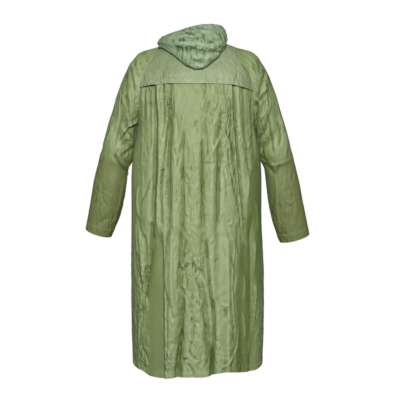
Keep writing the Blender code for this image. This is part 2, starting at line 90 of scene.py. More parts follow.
#               side_z centre_z half_width back_depth front_depth
SKIRT = (
    ("underarm",  -290,  -291, 217, 171, 162),
    ("rib_1",     -325,  -327, 223, 172, 164),
    ("rib_2",     -366,  -368, 231, 174, 166),
    ("waist_1",   -420,  -422, 239, 175, 168),
    ("waist_2",   -480,  -483, 242, 176, 170),
    ("waist_3",   -545,  -549, 242, 177, 172),
    ("hip_1",     -610,  -615, 242, 178, 174),
    ("hip_2",     -675,  -681, 243, 179, 176),
    ("hip_3",     -740,  -748, 245, 181, 178),
    ("skirt_1",   -805,  -815, 247, 183, 180),
    ("skirt_2",   -870,  -882, 247, 185, 182),
    ("skirt_3",   -935,  -949, 247, 186, 184),
    ("skirt_4",  -1000, -1016, 246, 188, 185),
    ("skirt_5",  -1055, -1075, 245, 189, 186),
    ("skirt_6",  -1108, -1132, 243, 190, 187),
    ("hem",      -1156, -1184, 241, 190, 188),
)
# The neckline over the shoulder, between the two raglan seams.
#     x    y   z
NECK_ARC = (
    (80,  30, 30),
    (91,   6, 27),
    (93, -18, 18),
    (86, -40,  6),
)
#            top_x top_z under_x under_z half_depth middle_y bulge lean
SLEEVE = (
    ("crest",  152,    8, 218, -292, 92,  -2, 30,  0),
    ("tip",    211,  -11, 221, -295, 95,  -3, 11,  0),
    ("cap_1",  245,  -52, 224, -300, 91,  -4,  4,  0),
    ("cap_2",  270,  -97, 227, -309, 85,  -5,  1,  0),
    ("arm_1",  290, -150, 230, -322, 78,  -5,  0,  0),
    ("arm_2",  310, -212, 233, -341, 72,  -6,  0,  1),
    ("arm_3",  329, -275, 237, -365, 67,  -7,  0,  2),
    ("arm_4",  346, -335, 243, -393, 66,  -9,  0,  4),
    ("arm_5",  360, -386, 249, -424, 64, -12,  0,  6),
    ("elbow",  368, -418, 255, -448, 59, -15,  0,  9),
    ("fore_1", 385, -482, 264, -508, 62, -26,  0, 12),
    ("fore_2", 397, -545, 276, -568, 60, -40,  0, 12),
    ("fore_3", 409, -606, 296, -632, 57, -54,  0, 12),
    ("cuff",   421, -667, 323, -697, 53, -68,  0, 12),
)
RIGHT_ARM_DROP = 20.0     # the right cuff hangs this much lower
RIGHT_CUFF_SPREAD = 7.0   # and is this much wider to each side
RIGHT_DROP_TOP = -300.0   # growing from this height on, over this length
RIGHT_DROP_LENGTH = 360.0

# Long folds: where each runs at its upper end, its middle and its lower end, the height
# of those ends, how deep it is there, and its half width. Depth is into the coat.
#                   x_top x_mid x_low z_top  z_low d_top d_mid d_low half_width
BACK_FOLDS = (
    ("left_side",     151,  151,  190, -170,  -900, 11, 9,  4, 15),
    ("left_blade",     87,  101,   96, -165,  -760,  9, 9,  3, 16),
    ("left_centre",    51,   52,   68, -290, -1200,  3, 7, 15, 17),
    ("right_centre",  -34,  -24,  -56, -215, -1200,  5, 7, 15, 17),
    ("right_blade",   -87,  -76,  -72, -230,  -930,  6, 6,  3, 12),
    ("right_side",   -120, -152, -184, -165,  -840,  9, 9,  5, 16),
    ("right_skirt",  -160, -166, -172, -780, -1200,  2, 7,  9, 20),
    ("left_skirt",    150,  138,  130, -820, -1200,  2, 5,  7, 24),
)
FRONT_FOLDS = (
    ("left_chest",    95,   88,  100, -170,  -760, 7, 8,  3, 17),
    ("left_flank",   160,  168,  178, -250,  -980, 7, 9,  5, 16),
    ("left_skirt",    70,   80,   92, -700, -1200, 2, 8, 12, 19),
    ("right_chest",  -98,  -92, -112, -185,  -800, 7, 7,  3, 17),
    ("right_flank", -158, -170, -174, -230,  -930, 8, 9,  4, 16),
    ("right_skirt",  -76,  -88,  -84, -660, -1200, 2, 8, 12, 19),
)
FOLD_END = 100.0          # a long fold fades out over this length at its ends

# How far the back's hem rises above its even curve, by place across; the coat above it
# gives way over HEM_GIVE.
#       x rise
HEM_LINE = (
    (-230,  -2),
    (-200,  -5),
    (-180,  -2),
    (-168,   1),
    (-110,  13),
    (-75,    9),
    (-50,    0),
    (-20,   -3),
    (20,    -2),
    (50,    -4),
    (66,    -4),
    (80,    -8),
    (130,  -16),
    (172,  -12),
    (184,   -6),
    (198,    0),
    (230,    0),
)
HEM_GIVE = 210.0

# How far the cape's free edge stands off the back panel, by place across the back.
#       x lift
CAPE_LIFT = (
    (-205, 3.0),
    (-175, 8.0),
    (-135, 9.0),
    (-100, 4.0),
    (-76,  0.0),
    (-45,  3.0),
    (0,    2.0),
    (60,   3.0),
    (95,   6.0),
    (119,  0.0),
    (150,  6.0),
    (180,  8.0),
    (205,  3.0),
)
# How far the cape's free edge drops towards the next level at its two ends.
#       x share
CAPE_DROP = (
    (-205, 0.62),
    (-165, 0.34),
    (-120, 0.08),
    (-76,   0.0),
    (119,   0.0),
    (165,  0.12),
    (205,  0.30),
)
# Dents of the crumpled sleeve: how far down the sleeve (0 neck to 1 cuff), where round it
# (0 body side, 90 back, 180 outside), depth, half length and half spread round it.
#                   along around depth half_length half_spread
SLEEVE_DENTS = (
    ("armpit",       0.40,  45, 12, 0.030, 50),
    ("armpit_low",   0.50,  60, 10, 0.028, 48),
    ("biceps",       0.44, 135,  4, 0.030, 30),
    ("triceps",      0.31, 105,  6, 0.030, 30),
    ("front_crook",  0.58, 285, 10, 0.030, 50),
    ("elbow_in",     0.62,  20,  8, 0.024, 45),
    ("elbow_out",   0.615, 165,  2, 0.022, 50),
    ("forearm",      0.80, 110,  4, 0.060, 28),
)
# Hood lying on the upper back: by direction round the neck (0 back, + wearer's left), the
# bottom of its pouch, its outermost stretch, and the rim.
#   angle fold_r fold_z belly_r belly_z rim_r rim_z
HOOD = (
    (-177,  88, -34,  96, -22,  94, -5),
    (-140,  92,  -6, 102,   4, 100, 18),
    (-105, 102,  20, 108,  27, 102, 38),
    (-75,  110,  20, 113,  34, 109, 63),
    (-50,  136,   3, 146,  24, 117, 79),
    (-28,  162, -44, 186, -24, 118, 79),
    (-12,  170, -84, 203, -21, 120, 76),
    (-3,   172, -97, 207, -16, 122, 72),
    (12,   170, -80, 198, -11, 122, 66),
    (30,   162, -38, 172,   0, 122, 56),
    (50,   158,  -6, 165,  14, 126, 47),
    (66,   152,   2, 159,  16, 118, 44),
    (90,   118,  18, 124,  26, 106, 38),
    (130,   98,   2, 108,  12, 102, 24),
    (177,   88, -34,  96, -22,  94, -5),
)
HOOD_AXIS_Y = -8.0        # the directions are measured round this place
HOOD_STAND = 14.0         # the hood stands up this much before it rolls over
HOOD_LOW_STAND = 6.0      # and this much where it doesn't roll
HOOD_ROLL = 16.0          # it rolls out by this much
HOOD_ROLL_START = 5.0     # where its fold is farther than this out of the neckline
HOOD_ROLL_RAMP = 40.0     # and in full this much farther out
HOOD_DRAPE_AT = 0.55      # shares of the way from the roll to the fold,
HOOD_HEEL_AT = 0.3        # and from the fold to the belly
HOOD_PLEAT_AT = 0.68
HOOD_PLEAT = 10.0         # depth of the fold over the belly of a full pouch
HOOD_SLIM_POUCH = 8.0     # a pouch whose belly is this far out of its fold has no pleat
HOOD_FULL_POUCH = 34.0    # and one this far out has the whole of it
HOOD_SEAT_GAP = 0.5
HOOD_FRONT_GAP = 2.0
FRONT_PART_START = 3.0    # the hood follows the fronts from this far off the centre line
NECK_CORNERS = 20         # spans of the neckline across half the back, as in the solid
FRONT_CORNERS = 16

STUD_COUNT = 6
STUD_TOP = -92.0
STUD_PITCH = 132.0
STUD_SEAT = 3             # rows to each side that a stud's direction is read from
STUD_STEPS = 40
STUD_SHARP = 40           # edges sharper than this many degrees stay crisp
SHELL_SHARP = 72
# Section of a stud's cap, from the middle of its top to the middle of its underside.
#   radius height
STUD_PROFILE = (
    (0.0, 2.1),
    (2.2, 2.1),
    (3.6, 1.9),
    (4.0, 1.6),
    (4.4, 1.8),
    (5.4, 2.0),
    (6.4, 1.7),
    (7.0, 0.9),
    (7.0, 0.3),
    (6.6, 0.0),
    (0.0, 0.0),
)

# ------------------------------------------------------------------ creases placed one by one
# Each crease runs through three places. Depth is into the coat, so a ridge is negative.
# wide_a is how soft it is on its +X side if it runs down, or on its lower side if it runs
# towards -X, and wide_b is the other side.
#      x0     z0    x1     z1    x2     z2 depth wide_a wide_b
BACK_CREASES = (
    # upper back, from the wearer's left side to the right
    (195,   -112,  194,  -400,  192,  -640, -2.0,  6,  6),
    (183,   -112,  190,  -222,  186,  -276,  3.5,  4,  4),
    (180,   -112,  172,  -190,  170,  -240,  4.5,  3,  3),
    (158,   -112,  171,  -192,  170,  -260,  4.5,  3,  3),
    (171,   -190,  169,  -300,  168,  -385,  3.5,  3,  4),
    (155,   -112,  155,  -400,  163,  -640,  7.5,  7,  6),
    (138,   -112,  137,  -350,  134,  -520, -4.5,  4,  6),
    (139,   -470,  141,  -570,  135,  -690, -5.5,  3,  7),
    (119,   -112,  116,  -265,  124,  -345,  4.5,  3,  3),
    (105,   -275,  115,  -400,  134,  -535,  5.5,  3,  3),
    (101,   -280,  107,  -365,  118,  -460, -3.5,  2,  4),
    (122,   -440,  126,  -540,  119,  -675,  4.5,  3,  3),
    (88,    -112,  100,  -310,   97,  -620,  5.0,  5,  6),
    (75,    -112,   75,  -300,   77,  -360, -3.0,  6,  6),
    (79,    -450,   81,  -580,   79,  -690, -5.0,  6,  6),
    (80,    -370,   76,  -392,   73,  -412,  3.0,  3,  3),
    (44,    -340,   64,  -400,   74,  -465,  4.0,  3,  3),
    (40,    -235,   50,  -290,   56,  -345, -2.5,  3,  5),
    (44,    -300,   48,  -382,   51,  -500,  3.5,  8,  8),
    (50,    -420,   47,  -550,   50,  -690,  5.0,  7,  7),
    (-30,   -112,  -31,  -180,  -30,  -210,  2.5,  3,  3),
    (-48,   -200,  -41,  -233,  -30,  -262,  2.5,  2,  3),
    (-30,   -255,  -34,  -293,  -30,  -335,  2.5,  2,  3),
    (28,    -365,   30,  -400,   32,  -438,  2.5,  3,  3),
    (-21,   -335,  -21,  -480,  -23,  -670,  5.0,  5,  5),
    (-34,   -300,  -39,  -382,  -36,  -424,  2.5,  2,  2),
    (-55,   -270,  -57,  -430,  -56,  -650, -3.0,  9,  9),
    (-95,   -312,  -64,  -378,  -22,  -434, -4.0,  3,  3),
    (-87,   -222,  -87,  -290,  -72,  -352,  4.0,  3,  3),
    (-88,   -375,  -79,  -490,  -76,  -655,  5.5,  4,  4),
    (-101,  -300, -112,  -322, -123,  -344,  2.5,  2,  2),
    (-112,  -360, -124,  -470, -159,  -590,  3.5,  2,  3),
    (-90,   -448, -105,  -490, -108,  -565,  2.0,  3,  3),
    (-121,  -112, -147,  -435, -177,  -740, -4.5,  8,  2),
    (-131,  -112, -157,  -435, -187,  -740,  6.5,  4,  8),
    (-149,  -112, -153,  -250, -160,  -330, -3.5,  5,  5),
    (-169,  -112, -178,  -290, -195,  -465,  6.5,  4,  4),
    (-187,  -175, -190,  -250, -198,  -340, -3.0,  5,  5),
    (-200,  -180, -207,  -311, -214,  -417,  5.0,  4,  4),
    (-188,  -465, -187,  -515, -184,  -570, -3.5,  2,  2),
    (-214,  -560, -221,  -620, -226,  -690, -4.0,  2,  3),
    (-218,  -700, -213,  -780, -208,  -860, -4.0,  3,  2),
    (-146,  -640, -150,  -700, -155,  -760,  4.0,  2,  3),
    (166,   -475,  182,  -530,  208,  -590,  3.5,  3,  3),
    (8,     -272,   -2,  -298,   -8,  -332,  1.8,  2,  2),
    (-10,   -276,    2,  -290,   10,  -312,  1.8,  2,  2),
    (-94,   -600,  -85,  -616,  -75,  -634, -2.5,  2,  2),
    (-134,  -626, -126,  -640, -118,  -652, -2.5,  2,  2),
    # lower back
    (206,   -640,  199,  -760,  192,  -890, -5.0,  9,  6),
    (219,   -730,  210,  -800,  200,  -888,  4.0,  4,  4),
    (208,   -500,  213,  -560,  208,  -640, -4.5,  5,  3),
    (216,   -600,  204,  -660,  190,  -705,  4.0,  2,  3),
    (222,   -640,  216,  -700,  214,  -800, -3.5,  2,  3),
    (190,   -676,  186,  -772,  193,  -888,  6.0,  3,  4),
    (164,   -630,  172,  -737,  191,  -925,  7.5,  5,  6),
    (157,   -695,  163,  -722,  167,  -745, -3.0,  2,  3),
    (126,   -640,  124, -1000,  122, -1300, 14.0, 38,  6),
    (112,   -790,  110, -1000,  110, -1260, -3.0,  8, 12),
    (104,   -890,  104, -1000,  103, -1100,  3.5,  3,  3),
    (127,   -806,  112,  -880,   93,  -950,  5.5,  3,  3),
    (88,    -650,   90,  -820,   84,  -945, -5.0,  9,  7),
    (94,    -660,  108,  -705,  112,  -790,  4.0,  3,  3),
    (55,    -650,   60,  -772,   66,  -885,  6.0,  5,  6),
    (48,    -895,   49,  -985,   57, -1065,  9.0,  5,  5),
    (50,   -1020,   64, -1100,   84, -1230, 13.0, 10, 10),
    (34,    -695,   44,  -737,   53,  -772,  4.5,  3,  3),
    (22,    -735,   37,  -750,   51,  -768,  3.5,  3,  3),
    (60,    -812,   38,  -795,   22,  -782,  5.0,  3,  4),
    (17,    -776,    6,  -798,    1,  -820,  4.5,  3,  3),
    (-4,    -798,  -15,  -808,  -28,  -818,  3.5,  3,  3),
    (29,    -832,   33,  -858,   38,  -886,  3.5,  3,  3),
    (3,     -822,  -10,  -870,  -21,  -920,  5.0,  3,  3),
    (-14,   -822,  -32,  -858,  -38,  -925, -5.0,  4,  3),
    (60,    -866,   46,  -882,   33,  -900,  3.5,  2,  2),
    (3,     -910,  -26,  -957,  -38, -1064,  5.0,  3,  3),
    (-7,    -915,  -31,  -965,  -36, -1010, -3.5,  2,  3),
    (20,    -964,   12, -1005,   13, -1060,  4.0,  3,  3),
    (13,   -1050,   24, -1092,   10, -1118,  4.0,  3,  3),
    (13,   -1112,    2, -1120,  -11, -1125,  3.5,  3,  3),
    (53,   -1122,   41, -1122,   29, -1119,  4.5,  3,  3),
    (38,   -1132,   16, -1155,    4, -1184,  3.5,  3,  3),
    (-34,   -690,  -44,  -815,  -60,  -960,  6.5,  4,  5),
    (-59,   -905,  -66, -1020,  -57, -1180, 10.0,  5,  5),
    (-58,  -1070,  -58, -1130,  -58, -1230, 11.0,  8,  8),
    (-110,  -680, -113,  -900, -114, -1230, -6.0, 14, 14),
    (-90,   -924, -105,  -936, -120,  -929, -3.5,  2,  2),
    (-97,   -946, -105,  -960,  -99,  -980,  3.5,  2,  2),
    (-112,  -962, -120,  -980, -128,  -988, -3.0,  2,  2),
    (-115, -1002, -124, -1020, -131, -1038, -3.0,  2,  2),
    (-137, -1000, -131, -1036, -139, -1068,  3.5,  3,  3),
    (-118,  -750, -141,  -825, -125,  -892,  4.5,  3,  3),
    (-204,  -600, -207,  -900, -203, -1300, 12.0, 44,  6),
    (-146,  -690, -134,  -880, -152, -1060,  4.5,  4,  2),
    (-141,  -700, -129,  -880, -147, -1060, -4.0,  2,  5),
    (-178,  -820, -180,  -870, -176,  -930, -2.5,  2,  2),
    (-172,  -960, -180, -1010, -184, -1070, -3.5,  2,  3),
    (-218,  -855, -211,  -985, -197, -1130, -4.5,  4,  3),
    (-164, -1088, -178, -1120, -191, -1158,  3.5,  3,  3),
    (-155, -1014, -147, -1080, -132, -1114, -4.5,  2,  3),
    (-134, -1108, -112, -1140,  -81, -1154, -4.5,  3,  3),
    (200,   -980,  206, -1040,  205, -1110, -4.0,  4,  3),
    (186,   -900,  178,  -940,  182,  -985, -3.0,  3,  3),
)
CAPE_CREASES = (
    (131,   -92,  122, -100,  117, -112,  1.6, 2, 2),
    (102,   -97,   93, -101,   85, -100,  1.6, 2, 2),
    (-163, -120, -185, -140, -203, -158,  2.2, 3, 3),
    (-178, -114, -193, -132, -204, -154,  2.0, 3, 3),
    (-94,   -62, -108,  -80, -119,  -94,  1.4, 3, 3),
    (150,   -60,  155,  -85,  165, -110,  1.6, 5, 5),
    (-20,   -92,   -8,  -98,    5,  -94, -1.4, 4, 4),
    (60,   -112,   52, -124,   55, -138,  1.2, 3, 3),
    (-40,  -110,  -46, -126,  -41, -140,  1.2, 3, 3),
    (119,  -108,  119, -128,  119, -156,  2.0, 2, 2),
    (126,  -108,  125, -124,  124, -150, -1.2, 2, 2),
    (-77,  -110,  -77, -128,  -77, -156,  1.6, 2, 2),
)
FRONT_CREASES = (
    (92,    -120,   86,  -240,   94,  -420,  4.5, 4, 4),
    (70,    -110,   74,  -190,   66,  -300, -3.0, 6, 5),
    (128,   -130,  134,  -230,  150,  -330,  4.0, 3, 4),
    (160,   -170,  168,  -300,  172,  -470,  5.5, 4, 5),
    (60,    -330,   76,  -400,  110,  -455,  4.0, 3, 3),
    (120,   -350,   96,  -440,   58,  -500, -3.5, 3, 3),
    (186,   -330,  176,  -480,  184,  -640,  4.0, 4, 4),
    (110,   -470,  106,  -620,  118,  -760, -4.0, 6, 5),
    (140,   -520,  136,  -640,  146,  -770,  5.0, 4, 4),
    (52,    -540,   66,  -600,   70,  -690,  3.5, 3, 3),
    (76,    -700,   82,  -900,   92, -1130,  7.0, 5, 5),
    (118,   -780,  126,  -930,  120, -1090, -5.0, 8, 6),
    (158,   -760,  154,  -930,  160, -1150,  5.5, 5, 6),
    (196,   -700,  202,  -860,  196, -1040, -4.0, 5, 4),
    (60,    -850,   44,  -930,   50, -1010,  3.5, 3, 3),
    (96,   -1040,   70, -1090,   48, -1120, -4.0, 3, 3),
    (128,  -1060,  140, -1100,  148, -1160,  3.5, 3, 3),
    (-96,   -130,  -92,  -260,  -98,  -430,  4.5, 4, 4),
    (-66,   -120,  -70,  -210,  -62,  -330, -3.0, 5, 6),
    (-130,  -140, -138,  -240, -156,  -340,  4.0, 4, 3),
    (-164,  -180, -172,  -320, -170,  -480,  5.5, 5, 4),
    (-58,   -360,  -80,  -430, -116,  -470,  4.0, 3, 3),
    (-126,  -380,  -98,  -460,  -64,  -540, -3.5, 3, 3),
    (-190,  -340, -180,  -470, -186,  -620,  4.0, 4, 4),
    (-118,  -480, -108,  -640, -120,  -780, -4.0, 5, 6),
    (-146,  -500, -140,  -650, -150,  -790,  5.0, 4, 4),
    (-80,   -660,  -90,  -880,  -86, -1140,  7.0, 5, 5),
    (-122,  -800, -130,  -950, -122, -1110, -5.0, 6, 8),
    (-160,  -780, -152,  -940, -162, -1150,  5.5, 6, 5),
    (-200,  -720, -206,  -880, -198, -1050, -4.0, 4, 5),
    (-52,   -700,  -60,  -800,  -50,  -900,  3.5, 3, 3),
    (-98,  -1000,  -76, -1060,  -50, -1096, -4.0, 3, 3),
    (-136, -1040, -146, -1090, -150, -1150,  3.5, 3, 3),
)
# On the back of each sleeve; its front has the same ones, a little lower.
LEFT_ARM_CREASES = (
    (230,  -22, 223,  -72, 208, -118,  4.5,  3,  4),
    (212,  -30, 206,  -60, 196,  -92,  4.5,  3,  3),
    (196,  -12, 186,  -34, 178,  -60,  3.5,  2,  3),
    (220,  -26, 214,  -60, 203, -100, -3.0,  2,  3),
    (246,  -62, 237, -112, 217, -176,  7.0,  3,  4),
    (262,  -70, 262, -125, 258, -190,  3.5,  5,  5),
    (236,  -34, 243,  -52, 250,  -72, -2.5,  3,  3),
    (206, -264, 238, -284, 286, -336, -5.0,  4,  5),
    (206, -276, 240, -295, 286, -348,  9.0,  3,  8),
    (228, -296, 228, -325, 220, -356,  5.0,  9,  9),
    (240, -304, 236, -322, 232, -340, -3.0,  2,  2),
    (212, -350, 246, -372, 280, -404,  7.0,  3,  6),
    (246, -332, 262, -350, 282, -356,  3.0,  3,  3),
    (244, -142, 240, -200, 232, -268, -4.0, 14, 12),
    (253,  -81, 262, -138, 264, -205,  4.0,  4,  5),
    (262, -190, 280, -270, 306, -384,  4.5,  4,  6),
    (306, -272, 322, -318, 341, -368, -3.0,  5,  6),
    (297, -376, 272, -420, 250, -444, -4.5,  3,  5),
    (306, -386, 280, -432, 258, -456,  5.0,  3,  4),
    (286, -372, 296, -392, 300, -410,  3.0,  2,  3),
    (340, -392, 352, -412, 372, -424,  2.5,  3,  4),
    (262, -458, 286, -560, 322, -690, -3.0,  3, 12),
    (350, -470, 366, -540, 378, -620, -2.0,  9,  9),
    (330, -616, 350, -640, 372, -652,  2.0,  3,  4),
)
RIGHT_ARM_CREASES = (
    (-205,  -38, -210,  -62, -214,  -92,  3.0,  3, 3),
    (-220,  -42, -227,  -66, -232,  -96,  3.5,  3, 3),
    (-253,  -70, -241, -122, -220, -200, 12.0,  4, 5),
    (-246,  -74, -229, -132, -218, -184, -5.0,  3, 3),
    (-262,  -84, -254, -120, -246, -160, -4.0,  3, 3),
    (-262, -140, -244, -166, -222, -188, -5.0,  3, 3),
    (-262, -158, -240, -188, -222, -208,  6.0,  3, 3),
    (-260, -139, -256, -227, -231, -268, -5.0,  5, 3),
    (-214, -194, -222, -230, -214, -290,  8.0,  5, 5),
    (-246, -140, -244, -210, -226, -256,  4.0,  4, 4),
    (-262, -240, -275, -340, -284, -396,  6.0,  3, 5),
    (-296, -262, -314, -312, -304, -366,  6.5,  5, 3),
    (-276, -130, -300, -220, -326, -319, -3.5,  7, 6),
    (-326, -300, -332, -350, -322, -424, -3.0,  5, 5),
    (-251, -428, -300, -430, -360, -400, -3.5,  2, 3),
    (-248, -420, -269, -442, -290, -470,  5.0,  3, 4),
    (-290, -470, -300, -447, -310, -426,  4.5,  3, 4),
    (-262, -410, -282, -430, -296, -452, -3.0,  2, 2),
    (-226, -360, -240, -390, -262, -420,  4.0,  4, 4),
    (-293, -470, -302, -580, -318, -716, -3.5, 14, 3),
    (-352, -480, -366, -560, -380, -640, -2.0,  9, 9),
    (-330, -560, -350, -572, -368, -560, -2.0,  2, 2),
)
HOOD_CREASES = (
    (88,  -10,  40, -18,    2, -20,  3.0, 7, 3),
    (10,  -20, -27, -25,  -75, -30,  6.0, 9, 2),
    (32,   -9,  -8, -12,  -56, -25, -3.0, 3, 7),
    (-64, -27, -83, -15, -103,  -5,  9.0, 3, 2),
    (-82, -39, -98, -21, -112,  -4,  4.0, 3, 3),
    (-42,  -3, -54,   4,  -70,  12,  5.0, 3, 2),
    (-50, -14, -72,  -5, -100,   6, -4.0, 4, 4),
    (-56,  -9, -54, -16,  -50, -23,  2.5, 3, 2),
    (-70,  -8, -66, -14,  -62, -20,  3.0, 2, 2),
    (70,   17,  50,  10,   30,  -1,  6.5, 3, 2),
    (62,    4,  46,  -2,   30, -10, -3.0, 3, 3),
    (46,   40,  15,  35,    2,  25,  4.5, 3, 3),
    (4,    28,  -3,  12,   -2,   2,  2.0, 3, 3),
    (-16,  54, -43,  53,  -70,  55,  5.0, 2, 2),
    (-10,  46, -40,  45,  -74,  44, -3.0, 4, 3),
    (-76,  46, -90,  30,  -94,  20,  3.5, 3, 3),
    (-20,  36, -28,  24,  -26,  10,  3.0, 3, 3),
    (-60,  34, -74,  26,  -90,  22, -3.0, 3, 3),
    (92,   22,  84,   8,   86,  -6,  3.0, 3, 4),
    (30,  -67,  -3, -72,  -36, -67, 14.0, 5, 3),
    (-30, -70, -46, -66,  -60, -58,  5.0, 3, 2),
    (24,  -80,  -4, -86,  -32, -80, -5.0, 3, 3),
    (70,  -30,  60, -24,   44, -30,  3.0, 3, 3),
    (-22, -34, -30, -44,  -28, -56,  3.0, 2, 2),
    (16,  -32,  10, -44,   14, -54, -2.5, 3, 3),
)

# Where the back lies smooth: the middle, top and bottom of a long patch, its half width and
# how much of the crumple it lacks.
#       x z_top  z_low half_width lack
BACK_CALM = (
    (147,  -720, -1210, 26, 0.95),
    (-173, -700, -1120, 31, 0.85),
    (16,   -150,  -340, 46, 0.60),
    (150,  -120,  -460, 10, 0.60),
    (226,  -320,  -700, 18, 0.60),
    (-222, -320,  -900, 22, 0.50),
    (88,   -690,  -900, 10, 0.60),
)
# Painted shade: where a piece's colour is painted darker to stand in for shade, over the same kind of
# patch.
#       x z_top z_low half_width amount
HOOD_PAINTED_SHADE = (
    (115,  90, -60, 30, 0.35),
    (-112, 60, -60,  9, 0.30),
)
ARM_PAINTED_SHADE = (
    (196,   60,  -70, 20, 0.30),
    (262,  -40, -250, 12, 0.35),
    (-226, -40, -200, 10, 0.60),
    (-276, -60, -330, 16, 0.35),
)
CAPE_PAINTED_SHADE = (
    (110,  60, -150, 58, 0.42),
    (-188, 20, -190, 20, 0.35),
)
BACK_PAINTED_SHADE = (
    (147,   -700, -1230, 30, 1.00),
    (176,   -150,  -520, 13, 0.30),
    (-198,  -560, -1200, 18, 1.00),
    (-158,  -730, -1200, 20, 0.90),
    (-215,  -380,  -900, 26, 0.90),
    (152,   -130,  -560,  9, 0.70),
    (98,    -150,  -480,  9, 0.60),
    (-60,   -900, -1230,  9, 0.60),
    (60,   -1000, -1230, 10, 0.60),
    (-180,  -150,  -420, 12, 0.55),
    (-132,  -140,  -460,  8, 0.45),
    (12,    -120,  -330, 52, 0.30),
)
PATCH_END = 120.0         # a patch fades out over this length at its ends

# ------------------------------------------------------------------ small crumples
# Small crumples of a piece. Short creases are scattered by a seeded draw between two corners
# of the piece's own plane: how many, ranges of their length, depth and softness, and how
# strongly they run down the piece. Under them lie facets: how deep and how drawn out down
# the piece. The fronts and sleeves add their side, 1 or -1, to both seeds. The hood's box
# reaches down to its rim, however far that is.
Crumple = namedtuple(
    "Crumple", "seed facet_seed low high count lengths depths softness upright facets drawn_out"
)
BACK_CRUMPLE = Crumple(
    seed=11, facet_seed=3, low=(-305.0, -1190.0), high=(305.0, -150.0), count=560,
    lengths=(14.0, 95.0), depths=(0.5, 2.3), softness=(1.2, 3.4), upright=2.4,
    facets=1.0, drawn_out=2.4,
)
FRONT_CRUMPLE = BACK_CRUMPLE._replace(
    seed=31, facet_seed=7, low=(0.0, -1190.0), high=(345.0, -60.0), count=300,
)
CAPE_CRUMPLE = Crumple(
    seed=23, facet_seed=5, low=(-250.0, -150.0), high=(250.0, 20.0), count=90,
    lengths=(8.0, 34.0), depths=(0.2, 0.8), softness=(1.0, 2.4), upright=1.0,
    facets=0.35, drawn_out=1.0,
)
SLEEVE_CRUMPLE = Crumple(
    seed=43, facet_seed=13, low=(0.0, 0.0), high=(470.0, 830.0), count=330,
    lengths=(12.0, 62.0), depths=(0.5, 2.1), softness=(1.2, 3.2), upright=0.9,
    facets=1.0, drawn_out=1.1,
)
HOOD_CRUMPLE = Crumple(
    seed=59, facet_seed=19, low=(-480.0, 0.0), high=(480.0, None), count=230,
    lengths=(10.0, 44.0), depths=(0.4, 1.7), softness=(1.1, 2.6), upright=0.7,
    facets=0.8, drawn_out=1.0,
)
#    size depth
FACET_SIZES = (
    (44.0, 1.2),
    (22.0, 1.2),
    (11.0, 0.8),
)
FACET_CELLS = 61          # facets to a side before their heights repeat
LIVELY_SIZE = 95.0        # the cloth is more or less crumpled over patches of this size

# Shape of a crease.
CREASE_CORE = 1.2         # rounding of a crease's edge
CREASE_LEAST = 2.2        # least softness that the shells' points can carry
CREASE_SPREAD = 0.8       # breadth of a crease for its softness in the table
CREASE_GAIN = 1.45        # depth of a hand-placed crease for its depth in the table
CAPE_GAIN = 1.7
ARM_GAIN = 1.25
CREASE_STEPS = 10         # straight stretches that a crease is measured by
CREASE_REACH = 4.5        # a crease is felt this many times its softness away
CREASE_FADE = 36.0        # length over which a narrow crease fades at each end, at most
BROAD_FADE = 3.0          # and how much longer that is for each millimetre of its width
SHORT_BIAS = 2.2          # the higher, the more of the scattered creases are short
CREASE_BOW = 0.22         # they bow to a side by up to this share of half their length
CREASE_SKEW = (0.6, 1.6)  # and are softer on one side than on the other by this range
BLUR = 2                  # points to each side that a point's hollowness is measured from

# ------------------------------------------------------------------ where creases lie on a piece
# Creases fade in over these distances.
SEAM_FADE = 14.0          # from the body's side seams and the tops of the cape and hood
FRONT_TOP_FADE = 16.0     # from the top of a front
NARROW_FADE = 12.0        # from the cape's sides and a sleeve's raglan seam
END_FADE = 10.0           # from a sleeve's line next to the body and the hood's front ends
OVERLAP_FADE = 22.0       # from the fronts' overlap
FOLD_FADE = 30.0          # long folds, from the back's side seams
FRONT_FOLD_FADE = 38.0    # long folds, from a front's side seam
FRONT_FOLD_START = 34.0   # and over FOLD_FADE from this far off the centre line

UNDER_CAPE = -152.0       # above this height the back panel has no ridges, only troughs
UNDER_CAPE_RAMP = 12.0
CAPE_DEEPEST = 1.1        # the cape is pressed in by no more than this
CAPE_PROUD = 0.3          # and stands out by this
CAPE_FINE_CRUMPLE = 0.7   # strength of the material's own creases on the cape

DENTS_START = 0.15        # a sleeve's dents grow to their depth down to this share of it
ARM_FRONT_LOWER = 26.0    # the creases on a sleeve's front lie this much lower than its back's
ARM_TURN = 3.0            # how quickly they come in where the sleeve turns to the back or front
FOREARM_START = 0.62      # the forearm lacks a share of its crumple, from here on
FOREARM_RAMP = 0.06
FOREARM_CALM = 0.25
OUTER_CALM = 0.7          # share of its crumple that the sleeve's outer side lacks
OUTER_SPREAD = 0.5        # and how far round that reaches (radians)

HOOD_BEHIND = 100.0       # the hood's listed creases start this far back
HOOD_BEHIND_RAMP = 40.0
HOOD_TOP_START = 0.42     # and this far from the neckline to the rim (as a share)
HOOD_TOP_RAMP = 0.08
HOOD_TAUT_START = 0.44    # between these shares the hood is drawn tight over its fold
HOOD_TAUT_END = 0.71
HOOD_TAUT_RAMP = 0.05
HOOD_TAUT = 0.75          # and lacks this share of its crumple
HOOD_BEND_CREASES = 0.55  # share of its listed creases that it keeps where it bends
HOOD_BEND_FACETS = 0.35   # and of its facets
HOOD_PUCKER = 0.4         # puckers at the hood's middle seam are this share of a body seam's

PUCKER_DEPTH = 0.5
PUCKER_REACH = 9.0        # puckers reach this far from a seam
PUCKER_FADE = 3.0         # and come in over this distance from it
BEND_ROWS = 3             # a bend is judged between points this many rows up and down
BEND_SHARP = 0.5          # cosine of a turn that leaves no crumple
BEND_RAMP = 0.4           # and how much more leaves the whole of it

